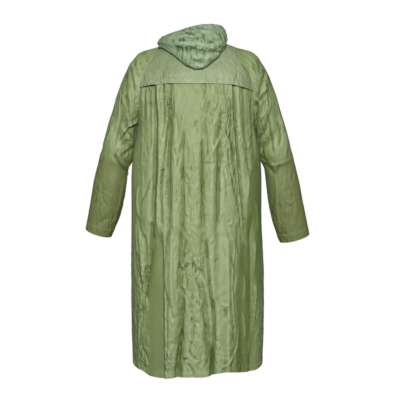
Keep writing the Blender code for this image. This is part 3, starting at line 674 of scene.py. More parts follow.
# ------------------------------------------------------------------ hems and stitching
HEM = 20.0                # turned-up cloth at the skirt's lower edge
CAPE_HEM = 16.0
CUFF_HEM = 34.0
RIM_HEM = 16.0
HEM_STEP = 0.7            # the turned-up cloth stands this much proud
HEM_RAMP = 1.5            # stepping up over this width
STITCH_PITCH = 3.4
STITCH_LENGTH = 2.7
STITCH_WIDTH = 0.75
BOLD_STITCH = 1.4
STITCH_INSET = 3.0        # a hem's stitching lies this far inside the turned-up cloth's edge
NARROW_INSET = 2.0        # and on the cape and hood this far
# Faces of a stitch by its points: its start, four round its middle, and its end.
STITCH_FACES = ((0, 2, 1), (0, 3, 2), (0, 4, 3), (0, 1, 4), (5, 1, 2), (5, 2, 3), (5, 3, 4), (5, 4, 1))
# The cape's hem stitching, by stretch across.
#    from   to  width
CAPE_STITCHES = (
    (-205, -27, STITCH_WIDTH),
    (-27,  101, BOLD_STITCH),
    (101,  144, STITCH_WIDTH),
    (144,  166, BOLD_STITCH),
    (166,  205, STITCH_WIDTH),
)
CAPE_TACKS = (119.0, -76.0)  # places across of the two short double seams that hold the cape down
TACK_LENGTH = 38.0
EDGE_STITCH_COLUMN = -4   # column of points that the upper front's edge is stitched along
SEAM_STITCH = 4.0         # topstitching lies this far from a seam
SEAM_SINK = 1.1           # a raglan seam lies this much lower than the cloth beside it
SINK_REACH = 3.0          # and draws the cloth down about this far away

# ------------------------------------------------------------------ studio
VIEW_DISTANCE = 3500.0
VIEW_X = -13.0
VIEW_Z = -559.5
LENS = 84.45
WORLD_LIGHT = 0.11        # strength of the world's light on the coat
WORLD_SEEN = 1.0          # and as the camera sees it
FLOOR_Z = -1450.0         # where an unseen wearer would stand
FLOOR_SIZE = 12000.0

# Soft boxes, in metres and watts.
#   name          place              target            size         power
LIGHTS = (
    ("key",        (0.0, 4.2, 0.6),   (0, 0, -0.55), (0.6, 0.7),  190.0),
    ("fill",       (-3.0, 2.2, 0.1),  (0, 0, -0.6),  (1.0, 1.8),   16.0),
    ("side",       (3.0, 2.0, 0.1),   (0, 0, -0.6),  (1.0, 1.8),   15.0),
    ("top",        (0.6, 0.9, 2.4),   (0, 0, -0.3),  (1.6, 1.4),   16.0),
    ("front_soft", (0.0, -4.4, 0.4),  (0, 0, -0.55), (1.6, 2.0),  150.0),
)

# The dark tone serves the random mottle and the painted shade; the light tone serves the random
# blotches and the painted highlight along ridges.
#             base colour (linear)   dark tone              light tone
SAGE = ((0.190, 0.250, 0.086), (0.116, 0.158, 0.034), (0.240, 0.292, 0.138))
# The hood's copy of the sage: its paler, bluer base is painted sheen, and its deeper dark tone deepens
# the painted shade in its creases.
HOOD_SAGE_PAINTED_SHEEN = ((0.205, 0.290, 0.148), (0.088, 0.144, 0.052), (0.270, 0.350, 0.215))
# The cape's copy of the sage, lighter all over: painted light on the flat cape.
CAPE_SAGE_PAINTED_LIGHT = ((0.218, 0.278, 0.134), (0.124, 0.168, 0.056), (0.270, 0.330, 0.198))
OLIVE = ((0.138, 0.168, 0.044), (0.095, 0.122, 0.024), (0.165, 0.192, 0.062))
OLIVE_TOP = -365.0        # the sleeves turn from sage to olive between these heights
OLIVE_FULL = -425.0
THREAD = (0.740, 0.780, 0.520)
ENAMEL = (0.130, 0.175, 0.070)
# What is laid over a cloth's base colour, layer on layer: what steers a layer, from which of
# its values to which, how much of the colour goes on at the most, and which colour. Blotches
# and mottle are random tone. Relief and hollow paint shade into deep folds and narrow troughs,
# the negative hollow paints a highlight along ridges, and shade paints shade over listed patches.
#    steered_by  from    to  share  colour
COLOUR_LAYERS = (
    ("blotches", 0.36,  0.66, 0.55, "light"),
    ("mottle",   0.52,  0.78, 0.35, "dark"),
    ("relief",    2.0,  14.0, 0.90, "dark"),
    ("hollow",    0.1,   1.5, 1.00, "dark"),
    ("hollow",   -0.1,  -1.4, 1.00, "light"),
    ("shade",     0.0,   1.0, 1.00, "dark"),
)
# Nets of fine creases in the cloth's own surface: cells to a metre, breadth of a crease as a
# share of a cell, and depth in metres.
#    cells breadth depth
CREASE_NETS = (
    (15.0, 0.13, 0.0036),
    (34.0, 0.15, 0.0030),
    (70.0, 0.21, 0.0021),
)
NET_WANDER = 0.016        # how far (metres) the nets wander from straight lines
FULL_CRUMPLE = 1.2        # value of the crumple attribute at which they show in full


# ------------------------------------------------------------------ curves and grids
def smooth_step(value):
    clipped = np.clip(value, 0.0, 1.0)
    return clipped * clipped * (3.0 - 2.0 * clipped)


def fade_in(distance, width):
    return smooth_step(distance / width)


def bell(distance, width):
    return np.exp(-(distance / width) ** 2)


def read_off(table, places):
    """Values of a two-column table at places, in straight lines from row to row."""
    return np.interp(places, *np.array(table, dtype=float).T)


def unit(vectors):
    return vectors / np.maximum(np.linalg.norm(vectors, axis=-1, keepdims=True), 1e-9)


def spline_at(rows, places):
    """Catmull-Rom curve through rows, read at places from 0 to the last row's index."""
    rows = np.asarray(rows, dtype=float)
    places = np.asarray(places, dtype=float)
    last = len(rows) - 1
    index = np.minimum(places.astype(int), last - 1)
    t = (places - index).reshape(-1, *[1] * (rows.ndim - 1))
    before = rows[np.maximum(index - 1, 0)]
    start = rows[index]
    end = rows[index + 1]
    after = rows[np.minimum(index + 2, last)]
    return 0.5 * (
        2.0 * start
        + (end - before) * t
        + (2.0 * before - 5.0 * start + 4.0 * end - after) * t ** 2
        + (3.0 * start - before - 3.0 * end + after) * t ** 3
    )


def lengths(grid, axis):
    """Distance of each point from the first one of its column (axis 0) or row (axis 1)."""
    steps = np.linalg.norm(np.diff(grid, axis=axis), axis=-1)
    return np.insert(np.cumsum(steps, axis=axis), 0, 0.0, axis=axis)


def to_nearer_side(across):
    return np.minimum(across, across[:, -1:] - across)


def odd_count(length, spacing):
    """Points along a length, an odd number so that every other one includes both ends."""
    return 2 * int(length / (2.0 * spacing)) + 1


def even_places(rows, spacing, first=0.0, last=None):
    """Places along a stack of rows, about spacing apart on the average column."""
    last = len(rows) - 1 if last is None else last
    dense = np.linspace(first, last, 30 * len(rows))
    length = lengths(spline_at(rows, dense), 0).mean(axis=1)
    return np.interp(np.linspace(0.0, length[-1], odd_count(length[-1], spacing)), length, dense)


def grid_normals(grid, closed=False):
    """Outward normals of a grid whose rows run down and whose columns run leftwards."""
    if closed:
        across = np.roll(grid, -1, axis=1) - np.roll(grid, 1, axis=1)
    else:
        across = np.gradient(grid, axis=1)
    return unit(np.cross(across, np.gradient(grid, axis=0)))


def mirrored(points):
    return points * np.array([-1.0, 1.0, 1.0])


# ------------------------------------------------------------------ forms of the pieces
def corner_of(depth, seam_x, seam_y):
    corner = math.acos((seam_y / depth) ** (1.0 / SQUARENESS))
    return corner, seam_x / math.sin(corner) ** SQUARENESS


def section_row(level, facing, shares):
    """One level of the coat: share 0 is the centre line and 1 the wearer's left seam."""
    centre_z, seam_z, depth, seam_x, seam_y = level
    corner, half_width = corner_of(depth, seam_x, seam_y)
    angles = corner * shares
    x = half_width * np.sign(angles) * np.abs(np.sin(angles)) ** SQUARENESS
    y = facing * depth * np.abs(np.cos(angles)) ** SQUARENESS
    z = centre_z + (seam_z - centre_z) * shares ** 2
    x = x + SWAY * smooth_step((SWAY_TOP - z) / SWAY_LENGTH)
    return np.stack([x, y, z], axis=1)


def front_shares(level, columns):
    """Shares of a front's row, from its edge past the centre line to its side seam."""
    corner, half_width = corner_of(*level[2:])
    overlap = math.asin((FRONT_OVERLAP / half_width) ** (1.0 / SQUARENESS)) / corner
    return np.linspace(-overlap, 1.0, columns)


def over_lower_front(x):
    """1 where the upper front lies on the lower one and 0 where it doesn't."""
    return smooth_step((FRONT_OVERLAP + OVERLAP_RAMP - x) / OVERLAP_RAMP)


def levels(upper, facing):
    """Section levels from the neckline to the hem."""
    depth_column = 4 if facing > 0 else 5
    lower = [(row[2], row[1], row[depth_column], row[3], 0.0) for row in SKIRT]
    return [row[1:] for row in upper] + lower


def back_rows(spacing):
    shares = np.linspace(-1.0, 1.0, odd_count(BACK_WIDTH, spacing))
    return np.array([section_row(level, 1, shares) for level in levels(BACK_YOKE, 1)])


def front_rows(side, spacing):
    columns = odd_count(FRONT_WIDTH, spacing)
    rows = np.array([section_row(level, -1, side * front_shares(level, columns))
                     for level in levels(FRONT_CHEST, -1)])
    return rows[:, ::-1] if side > 0 else rows


def fold_relief(grid, folds):
    """Inward depth of the long folds at every point of a grid."""
    x, z = grid[..., 0], grid[..., 2]
    relief = np.zeros_like(x)
    for _, x_top, x_mid, x_low, z_top, z_low, d_top, d_mid, d_low, half_width in folds:
        along = np.clip((z_top - z) / (z_top - z_low), 0.0, 1.0)
        weights = ((1 - along) * (1 - 2 * along), 4 * along * (1 - along), along * (2 * along - 1))
        path = weights[0] * x_top + weights[1] * x_mid + weights[2] * x_low
        depth = weights[0] * d_top + weights[1] * d_mid + weights[2] * d_low
        fade = smooth_step((z_top - z) / FOLD_END) * smooth_step((z - z_low) / FOLD_END + 0.5)
        relief += np.maximum(depth, 0.0) * fade * bell(x - path, half_width)
    return relief


def sleeve_ring(section, side, angles):
    _, top_x, top_z, under_x, under_z, half_depth, middle_y, bulge, lean = section
    if side < 0:
        low_share = smooth_step((RIGHT_DROP_TOP - top_z) / RIGHT_DROP_LENGTH)
        top_z = top_z - RIGHT_ARM_DROP * low_share
        under_z = under_z - RIGHT_ARM_DROP * low_share
        top_x = top_x + RIGHT_CUFF_SPREAD * low_share ** 3
        under_x = under_x - RIGHT_CUFF_SPREAD * low_share ** 3
    middle = np.array([(top_x + under_x) / 2, middle_y, (top_z + under_z) / 2])
    reach = np.array([(top_x - under_x) / 2, 0.0, (top_z - under_z) / 2])
    lean = math.radians(lean)
    back = np.array([0.0, math.cos(lean), -math.sin(lean)]) * half_depth
    points = middle - np.cos(angles)[:, None] * reach + np.sin(angles)[:, None] * back
    points[:, 0] += bulge * np.sin(angles) ** 2
    return points


def sleeve_form(side, back_edge, front_edge):
    """Rings of a left sleeve from the raglan seam to the cuff, their places and angles.

    back_edge and front_edge are the seam's corners on the two body pieces, neck first.
    """
    back_spans = len(BACK_YOKE)
    arc_spans = len(NECK_ARC) + 1
    corners = back_spans + arc_spans + len(FRONT_CHEST)
    turns = np.linspace(0.0, corners, odd_count(SLEEVE_GIRTH, SLEEVE_GRID[0]) - 1, endpoint=False)
    arc = np.array([back_edge[0], *NECK_ARC, front_edge[0]], dtype=float)
    on_back = turns <= back_spans
    on_front = turns >= back_spans + arc_spans
    seam = np.concatenate([
        spline_at(back_edge, back_spans - turns[on_back]),
        spline_at(arc, turns[~on_back & ~on_front] - back_spans),
        spline_at(front_edge, turns[on_front] - back_spans - arc_spans),
    ])
    angles = turns * 2 * math.pi / corners
    rings = np.array([seam] + [sleeve_ring(section, side, angles) for section in SLEEVE])
    places = even_places(rings, SLEEVE_GRID[1])
    return spline_at(rings, places), places[:, None] / len(SLEEVE), angles[None, :]


def dent_relief(along, angles):
    degrees = np.degrees(angles)
    relief = np.zeros((along.shape[0], angles.shape[1]))
    for _, place, around, depth, half_length, half_spread in SLEEVE_DENTS:
        turn = (degrees - around + 180.0) % 360.0 - 180.0
        relief += depth * bell(along - place, half_length) * bell(turn, half_spread)
    return relief * smooth_step(along / DENTS_START)


def nestled(form, relief, angles):
    """Relief of a sleeve whose inner side is brought up to the body's side."""
    body_z, body_x = np.array([(row[1], row[3]) for row in SKIRT], dtype=float)[::-1].T
    turn = np.minimum(angles, 2 * math.pi - angles)
    gap = np.abs(form[..., 0]) + relief - np.interp(form[..., 2], body_z, body_x)
    inner = gap[:, turn[0] < NESTLE_FACING]
    reach = np.maximum(inner.min(axis=1, keepdims=True) - NESTLE_GAP, 0.0)
    z = form[:, int(np.argmin(angles)), 2:]
    near = fade_in(NESTLE_TOP - z, NESTLE_TOP_RAMP) * fade_in(z - NESTLE_LOW, NESTLE_LOW_RAMP)
    return relief - reach * near * bell(turn, NESTLE_SPREAD)


def cape_stand_off(rows, places):
    """How far the cape lies outside the back panel."""
    edge_lift = read_off(CAPE_LIFT, rows[..., 0])
    place = places[:, None]
    step = (CLOTH + LAP_GAP) * smooth_step((place - 0.5) / (CAPE_TOP - 1.0))
    lift = edge_lift * smooth_step((place - CAPE_TOP + 0.5) / (CAPE_EDGE - CAPE_TOP + 0.5))
    return step + lift


def hood_profile(neck_r, neck_z, angle):
    """The hood's section in one direction: up, over, down to the pouch and up to the rim."""
    table = np.array(HOOD, dtype=float)
    fold_r, fold_z, belly_r, belly_z, rim_r, rim_z = (
        np.interp(angle, table[:, 0], table[:, column]) for column in range(1, 7)
    )
    roll = float(np.clip((fold_r - neck_r - HOOD_ROLL_START) / HOOD_ROLL_RAMP, 0.0, 1.0))
    neck = np.array([neck_r, neck_z])
    stand = neck + np.array([2.0, HOOD_STAND * roll + HOOD_LOW_STAND * (1 - roll)])
    over = neck + roll * np.array([HOOD_ROLL, HOOD_STAND + 6.0])
    over += (1 - roll) * np.array([3.0, HOOD_LOW_STAND + 5.0])
    fold = np.array([fold_r, fold_z])
    belly = np.array([belly_r, belly_z])
    rim = np.array([rim_r, rim_z])
    drape = over + (fold - over) * HOOD_DRAPE_AT
    pouch = (belly_r - fold_r - HOOD_SLIM_POUCH) / (HOOD_FULL_POUCH - HOOD_SLIM_POUCH)
    reach = HOOD_PLEAT * roll * float(np.clip(pouch, 0.0, 1.0))
    heel = fold + (belly - fold) * HOOD_HEEL_AT + np.array([reach, -0.2 * reach])
    pleat = fold + (belly - fold) * HOOD_PLEAT_AT - np.array([0.6 * reach, 0.0])
    crown = belly + (rim - belly) * 0.5 + np.array([0.5, 0.8]) * HOOD_PLEAT * roll
    return np.array([neck, stand, over, drape, fold, heel, pleat, belly, crown, rim])


def neckline_half(back_row, front_row):
    """Neckline corners of the left side, from the centre front to the centre back."""
    front_part = front_row[front_row[:, 0] > FRONT_PART_START]
    centre_front = np.array([[HOOD_FRONT_GAP, front_row[:, 1].min(), front_row[:, 2].min()]])
    arc = np.array(NECK_ARC, dtype=float)
    corners = np.concatenate([centre_front, front_part[1:-1:2], front_part[-1:],
                              arc[::-1], back_row[::-1][:-1:2], back_row[:1]])
    raised = over_lower_front(corners[:, 0]) * (corners[:, 1] < 0.0)
    corners[:, 2] += HOOD_SEAT_GAP + (CLOTH + FRONT_LAP_GAP) * raised
    return corners


def hood_form():
    """Rows from the neckline to the rim, in columns from the centre front leftwards."""
    back_row = section_row(BACK_YOKE[0][1:], 1, np.linspace(0.0, 1.0, NECK_CORNERS + 1))
    level = FRONT_CHEST[0][1:]
    front_row = section_row(level, -1, front_shares(level, FRONT_CORNERS + 1))
    left_half = neckline_half(back_row, front_row)
    columns = []
    for point in [*left_half, *mirrored(left_half)[-2::-1]]:
        offset = point[:2] - np.array([0.0, HOOD_AXIS_Y])
        angle = math.degrees(math.atan2(offset[0], offset[1]))
        profile = hood_profile(np.linalg.norm(offset), point[2], angle)
        plan = profile[:, :1] * unit(offset) + np.array([0.0, HOOD_AXIS_Y])
        columns.append(np.concatenate([plan, profile[:, 1:]], axis=1))
    columns = np.array(columns)
    seam = len(left_half) - 1
    left = even_places(columns, HOOD_GRID[0], last=seam)
    right = even_places(columns, HOOD_GRID[0], first=seam)
    rows = spline_at(columns, np.concatenate([left, right[1:]])).transpose(1, 0, 2)
    return spline_at(rows, even_places(rows, HOOD_GRID[1])), len(left) - 1


# ------------------------------------------------------------------ creases
def crease_relief(u, v, creases):
    """Inward depth of sharp-bottomed creases at points (u, v), in the creases' own plane."""
    flat_u, flat_v = u.ravel(), v.ravel()
    relief = np.zeros(u.size)
    for u0, v0, u1, v1, u2, v2, depth, *widths in creases:
        wide_a, wide_b = (math.hypot(wide * CREASE_SPREAD, CREASE_LEAST) for wide in widths)
        reach = CREASE_REACH * max(wide_a, wide_b)
        line = spline_at([(u0, v0), (u1, v1), (u2, v2)], np.linspace(0.0, 2.0, CREASE_STEPS + 1))
        low = line.min(axis=0) - reach
        high = line.max(axis=0) + reach
        near = np.flatnonzero((flat_u > low[0]) & (flat_u < high[0])
                              & (flat_v > low[1]) & (flat_v < high[1]))
        if not len(near):
            continue
        points = np.stack([flat_u[near], flat_v[near]], axis=1)
        best = np.full(len(near), np.inf)
        side = np.zeros(len(near))
        along = np.zeros(len(near))
        for step, (start, end) in enumerate(zip(line[:-1], line[1:])):
            run = end - start
            offset = points - start
            t = np.clip(offset @ run / (run @ run), 0.0, 1.0)
            gap = np.linalg.norm(offset - t[:, None] * run, axis=1)
            closer = gap < best
            turn = run[0] * offset[:, 1] - run[1] * offset[:, 0]
            best = np.where(closer, gap, best)
            side = np.where(closer, turn, side)
            along = np.where(closer, (step + t) / CREASE_STEPS, along)
        wide = np.where(side > 0.0, wide_a, wide_b)
        rounded = np.sqrt(best ** 2 + CREASE_CORE ** 2) - CREASE_CORE
        length = np.linalg.norm(np.diff(line, axis=0), axis=1).sum()
        fade_length = CREASE_FADE + BROAD_FADE * max(wide_a, wide_b)
        fade = smooth_step(np.minimum(along, 1.0 - along) / min(0.3, fade_length / length))
        relief[near] += depth * fade * np.exp(-rounded / wide)
    return relief.reshape(u.shape)


def scattered(crumple, side=0):
    """Short creases drawn at random between two corners of a piece's own plane."""
    random = np.random.default_rng(crumple.seed + side)
    shortest, longest = crumple.lengths
    rows = []
    for _ in range(crumple.count):
        place = random.uniform(crumple.low, crumple.high)
        length = shortest + (longest - shortest) * random.random() ** SHORT_BIAS
        heading = np.array([random.normal(0.0, 1.0), crumple.upright * random.normal(0.0, 1.0)])
        half = heading / max(np.linalg.norm(heading), 1e-6) * length / 2
        bow = np.array([-half[1], half[0]]) * random.uniform(-CREASE_BOW, CREASE_BOW)
        depth = random.uniform(*crumple.depths) * random.choice([-1.0, 1.0])
        depth *= 0.45 + 0.55 * length / longest
        wide = random.uniform(*crumple.softness) * (0.7 + 0.8 * length / longest)
        skew = random.uniform(*CREASE_SKEW)
        rows.append((*(place - half), *(place + bow), *(place + half), depth, wide * skew, wide / skew))
    return rows


def facets(u, v, size, drawn_out, seed):
    """Flat facets with crisp edges, from -1 to 1, about size across and drawn out down."""
    heights = np.random.default_rng(seed).uniform(-1.0, 1.0, (FACET_CELLS, FACET_CELLS))
    tall = size * drawn_out
    a = u / size + 0.45 * np.sin(v / (1.3 * tall) + seed) + 0.3 * np.sin(v / (0.47 * tall))
    b = v / tall + 0.45 * np.sin(u / (1.2 * size) + seed) + 0.3 * np.sin(u / (0.53 * size))
    i, j = np.floor(a).astype(int), np.floor(b).astype(int)
    fa, fb = a - i, b - j
    odd = (i + j) % 2 == 1
    fa = np.where(odd, 1.0 - fa, fa)
    near, far = np.where(odd, i + 1, i) % FACET_CELLS, np.where(odd, i, i + 1) % FACET_CELLS
    low, high = j % FACET_CELLS, (j + 1) % FACET_CELLS
    here, opposite = heights[near, low], heights[far, high]
    beside = np.where(fa > fb, heights[far, low], heights[near, high])
    large, small = np.maximum(fa, fb), np.minimum(fa, fb)
    return here + (beside - here) * large + (opposite - beside) * small


def liveliness(crumple, u, v, side=0):
    """How crumpled the cloth is from place to place, from about 0.1 to 1.2."""
    seed = crumple.facet_seed + side + 7
    return 0.65 + 0.55 * np.sin(1.4 * facets(u, v, LIVELY_SIZE, crumple.drawn_out, seed))


def crumpled(crumple, u, v, side=0):
    """Depth of an all-over crumple: facets of three sizes, drawn out down the piece."""
    relief = np.zeros(u.shape)
    for size, depth in FACET_SIZES:
        seed = crumple.facet_seed + side + int(size)
        relief += crumple.facets * depth * facets(u, v, size, crumple.drawn_out, seed)
    return relief * liveliness(crumple, u, v, side)


def rumpled(crumple, u, v, side=0):
    """Both kinds of small crumple together."""
    return crease_relief(u, v, scattered(crumple, side)) + crumpled(crumple, u, v, side)


def patch_share(x, z, patches):
    """How much of each patch in a table covers a point, taken together, from 0 to 1."""
    left = np.ones(x.shape)
    for middle, z_top, z_low, half_width, amount in patches:
        ends = smooth_step((z_top - z) / PATCH_END + 0.5) * smooth_step((z - z_low) / PATCH_END + 0.5)
        left *= 1.0 - amount * ends * np.exp(-((x - middle) / half_width) ** 4)
    return 1.0 - left


def calm_at_bends(form, closed=False):
    """1 where the form is flat and 0 where it turns sharply within a few rows."""
    normals = grid_normals(form, closed)
    padded = np.pad(normals, ((BEND_ROWS, BEND_ROWS), (0, 0), (0, 0)), mode="edge")
    turn = np.einsum("ijk,ijk->ij", padded[:-2 * BEND_ROWS], padded[2 * BEND_ROWS:])
    return fade_in(turn - BEND_SHARP, BEND_RAMP)


def no_less(share, least):
    return least + (1.0 - least) * share


def hem_relief(distance, height):
    """The turned-up cloth of a hem, by distance from the edge; proud, so negative."""
    return -HEM_STEP * (1.0 - smooth_step((distance - height) / HEM_RAMP + 0.5))


def seam_pucker(along, distance, phase):
    """Little puckers square to a seam."""
    wave = along / 7.0 + 1.7 * np.sin(along / 31.0 + phase) + np.sin(along / 13.0)
    return PUCKER_DEPTH * np.sin(wave) * bell(distance, PUCKER_REACH)


# ------------------------------------------------------------------ meshes
def mesh_of(name, points, faces):
    """Mesh from an array of points in millimetres."""
    mesh = bpy.data.meshes.new(name)
    mesh.from_pydata((points * MM).tolist(), [], faces)
    return mesh


def strip(index):
    """Quads between the rows and columns of an index grid, facing outwards."""
    a, b, c, d = index[:-1, :-1], index[1:, :-1], index[1:, 1:], index[:-1, 1:]
    return np.stack([a, d, c, b], axis=-1).reshape(-1, 4)


def rim(fine, coarse):
    """Faces from an outer edge to an inner one that has every other point."""
    return np.stack([fine[:-2:2], fine[1:-1:2], fine[2::2], coarse[1:], coarse[:-1]], axis=-1)


def shell_mesh(name, outer, inner, values, closed=False):
    """Closed thin shell: a fine outer face and an inner one of every other point.

    values become point attributes of the mesh, by name.
    """
    few = inner[::2, ::2]
    face = np.arange(outer[..., 0].size).reshape(outer.shape[:2])
    back = face.size + np.arange(few[..., 0].size).reshape(few.shape[:2])
    if closed:
        face, back = (np.concatenate([index, index[:, :1]], axis=1) for index in (face, back))
    rims = [rim(face[0, ::-1], back[0, ::-1]), rim(face[-1], back[-1])]
    if not closed:
        rims += [rim(face[:, 0], back[:, 0]), rim(face[::-1, -1], back[::-1, -1])]
    faces = [*strip(face).tolist(), *strip(back)[:, ::-1].tolist(), *np.concatenate(rims).tolist()]
    mesh = mesh_of(name, np.concatenate([outer.reshape(-1, 3), few.reshape(-1, 3)]), faces)
    for key, value in values.items():
        value = value * np.ones(outer.shape[:2])
        both = np.concatenate([value.ravel(), value[::2, ::2].ravel()]).astype(np.float32)
        mesh.attributes.new(key, "FLOAT", "POINT").data.foreach_set("value", both)
    mesh.shade_smooth()
    mesh.set_sharp_from_angle(angle=math.radians(SHELL_SHARP))
    mesh.update()
    return mesh


def hollowness(relief, closed=False):
    """How much deeper the cloth lies than the cloth round it: positive in a trough."""
    width = 2 * BLUR + 1
    blurred = relief
    for axis in (0, 1, 0, 1):
        pad = [(BLUR, BLUR) if other == axis else (0, 0) for other in (0, 1)]
        padded = np.pad(blurred, pad, mode="wrap" if closed and axis == 1 else "edge")
        total = np.cumsum(np.insert(padded, 0, 0.0, axis=axis), axis=axis)
        ahead = np.take(total, range(width, total.shape[axis]), axis=axis)
        blurred = (ahead - np.take(total, range(total.shape[axis] - width), axis=axis)) / width
    return relief - blurred


def place_object(name, data):
    placed = bpy.data.objects.new(name, data)
    bpy.context.scene.collection.objects.link(placed)
    return placed


def add_piece(name, mesh, material):
    piece = place_object(name, mesh)
    mesh.materials.append(material)
    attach(piece, "root")
    return piece


def add_shell(name, nodes, form, relief, looks, material, closed=False):
    """Cloth piece: the form pushed in by relief.

    looks holds the attributes that the material reads: how strongly its own small creases
    show (crumple) and where painted shade darkens its colour (shade, from 0 to 1).
    """
    normals = grid_normals(form, closed)
    outer = form - normals * relief[..., None]
    inner = outer - normals * SHELL
    # relief and hollow go to the material, which paints shade into folds and troughs and a highlight
    # along ridges from them.
    values = {"relief": relief, "hollow": hollowness(relief, closed), **looks}
    piece = add_piece(name, shell_mesh(name, outer, inner, values, closed), material)
    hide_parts(*nodes)
    across = lengths(form, 1)[:, -1]
    if closed:
        across = across + np.linalg.norm(form[:, 0] - form[:, -1], axis=1)
    return outer, grid_normals(outer, closed)


def stitch_points(path, outward, width=STITCH_WIDTH):
    """One octahedral stitch on every pitch of a path that lies on the cloth."""
    length = lengths(path, 0)
    middles = np.arange(STITCH_PITCH, length[-1] - STITCH_PITCH, STITCH_PITCH)

    def at(distance, values):
        return np.stack([np.interp(distance, length, values[:, axis]) for axis in range(3)], axis=1)

    half = STITCH_LENGTH / 2
    centre = at(middles, path)
    run = unit(at(middles + half, path) - at(middles - half, path))
    up = unit(at(middles, outward))
    side = unit(np.cross(run, up)) * width / 2
    lift = up * width / 2
    return np.stack([centre - run * half, centre + side, centre + lift,
                     centre - side, centre - lift, centre + run * half], axis=1)


def add_stitches(name, paths, material):
    """A path is its points, outward normals and perhaps a width; all stitches are one mesh."""
    stitches = np.concatenate([stitch_points(*path) for path in paths])
    first = np.arange(len(stitches))[:, None, None] * stitches.shape[1]
    faces = (first + np.array(STITCH_FACES)).reshape(-1, 3)
    mesh = mesh_of(name, stitches.reshape(-1, 3), faces.tolist())
    mesh.shade_smooth()
    mesh.update()
    add_piece(name, mesh, material)


def row_path(outer, normals, wanted):
    """Stitching path along the first row that is wanted."""
    row = int(np.argmax(wanted))
    return outer[row], normals[row]


def stud_mesh(name):
    """Domed cap with a ring groove, turned about Z."""
    bm = bmesh.new()
    points = [bm.verts.new((radius * MM, 0.0, height * MM)) for radius, height in STUD_PROFILE]
    edges = [bm.edges.new(pair) for pair in zip(points[:-1], points[1:])]
    bmesh.ops.spin(bm, geom=points + edges, axis=(0, 0, 1), cent=(0, 0, 0),
                   angle=2 * math.pi, steps=STUD_STEPS)
    bmesh.ops.remove_doubles(bm, verts=bm.verts[:], dist=0.01 * MM)
    bmesh.ops.recalc_face_normals(bm, faces=bm.faces[:])
    mesh = bpy.data.meshes.new(name)
    bm.to_mesh(mesh)
    bm.free()
    mesh.shade_smooth()
    mesh.set_sharp_from_angle(angle=math.radians(STUD_SHARP))
    return mesh


# ------------------------------------------------------------------ materials
class Nodes:
    """Small helper round a material's node tree."""

    def __init__(self, name):
        self.material = bpy.data.materials.new(name)
        self.material.use_nodes = True
        self.tree = self.material.node_tree
        self.shader = self.tree.nodes["Principled BSDF"]

    def put(self, node, key, value):
        socket = node.inputs[key]
        if isinstance(value, bpy.types.NodeSocket):
            self.tree.links.new(value, socket)
        else:
            socket.default_value = value

    def add(self, kind, settings=None, **inputs):
        node = self.tree.nodes.new(kind)
        for key, value in (settings or {}).items():
            setattr(node, key, value)
        for key, value in inputs.items():
            self.put(node, key.replace("_", " "), value)
        return node

    def mix(self, factor, one, two):
        node = self.add("ShaderNodeMix", {"data_type": "RGBA"})
        for key, value in ((0, factor), (6, one), (7, two)):
            self.put(node, key, value)
        return node.outputs[2]

    def worked_out(self, kind, settings, *values):
        """First output of a node whose inputs are values, in their order."""
        node = self.add(kind, settings)
        for key, value in enumerate(values):
            self.put(node, key, value)
        return node.outputs[0]

    def ranged(self, value, low, high, new_low, new_high):
        return self.worked_out("ShaderNodeMapRange", {}, value, low, high, new_low, new_high)

    def place(self):
        return self.add("ShaderNodeTexCoord").outputs["Object"]

    def shifted(self, place, seed, squeeze):
        """Place moved by seed, and squeezed so that a pattern is drawn out down the coat."""
        return self.add("ShaderNodeMapping", Vector=place, Scale=(1.0, 1.0, squeeze),
                        Location=(seed, seed * 0.7, 0.0)).outputs[0]

    def attribute(self, name):
        return self.add("ShaderNodeAttribute", {"attribute_name": name}).outputs["Fac"]

    def noise(self, place, settings=None, **inputs):
        return self.add("ShaderNodeTexNoise", settings, Vector=place, **inputs).outputs["Fac"]

    def bump(self, height, strength, distance, normal=None):
        node = self.add("ShaderNodeBump", Height=height, Strength=strength, Distance=distance)
        if normal:
            self.put(node, "Normal", normal)
        return node.outputs[0]


def rgba(colour):
    return (*colour, 1.0)


def cloth_tones(nodes, place, tones, low_tones):
    """Colours of a cloth; with low_tones, they turn into those lower down."""
    if not low_tones:
        return [rgba(tone) for tone in tones]
    height = nodes.add("ShaderNodeSeparateXYZ", Vector=place).outputs["Z"]
    low = nodes.ranged(height, OLIVE_TOP * MM, OLIVE_FULL * MM, 0.0, 1.0)
    return [nodes.mix(low, rgba(one), rgba(two)) for one, two in zip(tones, low_tones)]


def cloth_colour(nodes, tones, blotches, mottle):
    """A cloth's colour: a little uneven, darker and greener in its folds and troughs as painted shade,
    with a painted highlight along its ridges and painted shade over listed patches.
    """
    steers = {"blotches": blotches, "mottle": mottle, "relief": nodes.attribute("relief"),
              "hollow": nodes.attribute("hollow"), "shade": nodes.attribute("shade")}
    colours = dict(zip(("base", "dark", "light"), tones))
    tone = colours["base"]
    for steer, low, high, share, colour in COLOUR_LAYERS:
        tone = nodes.mix(nodes.ranged(steers[steer], low, high, 0.0, share), tone, colours[colour])
    return tone


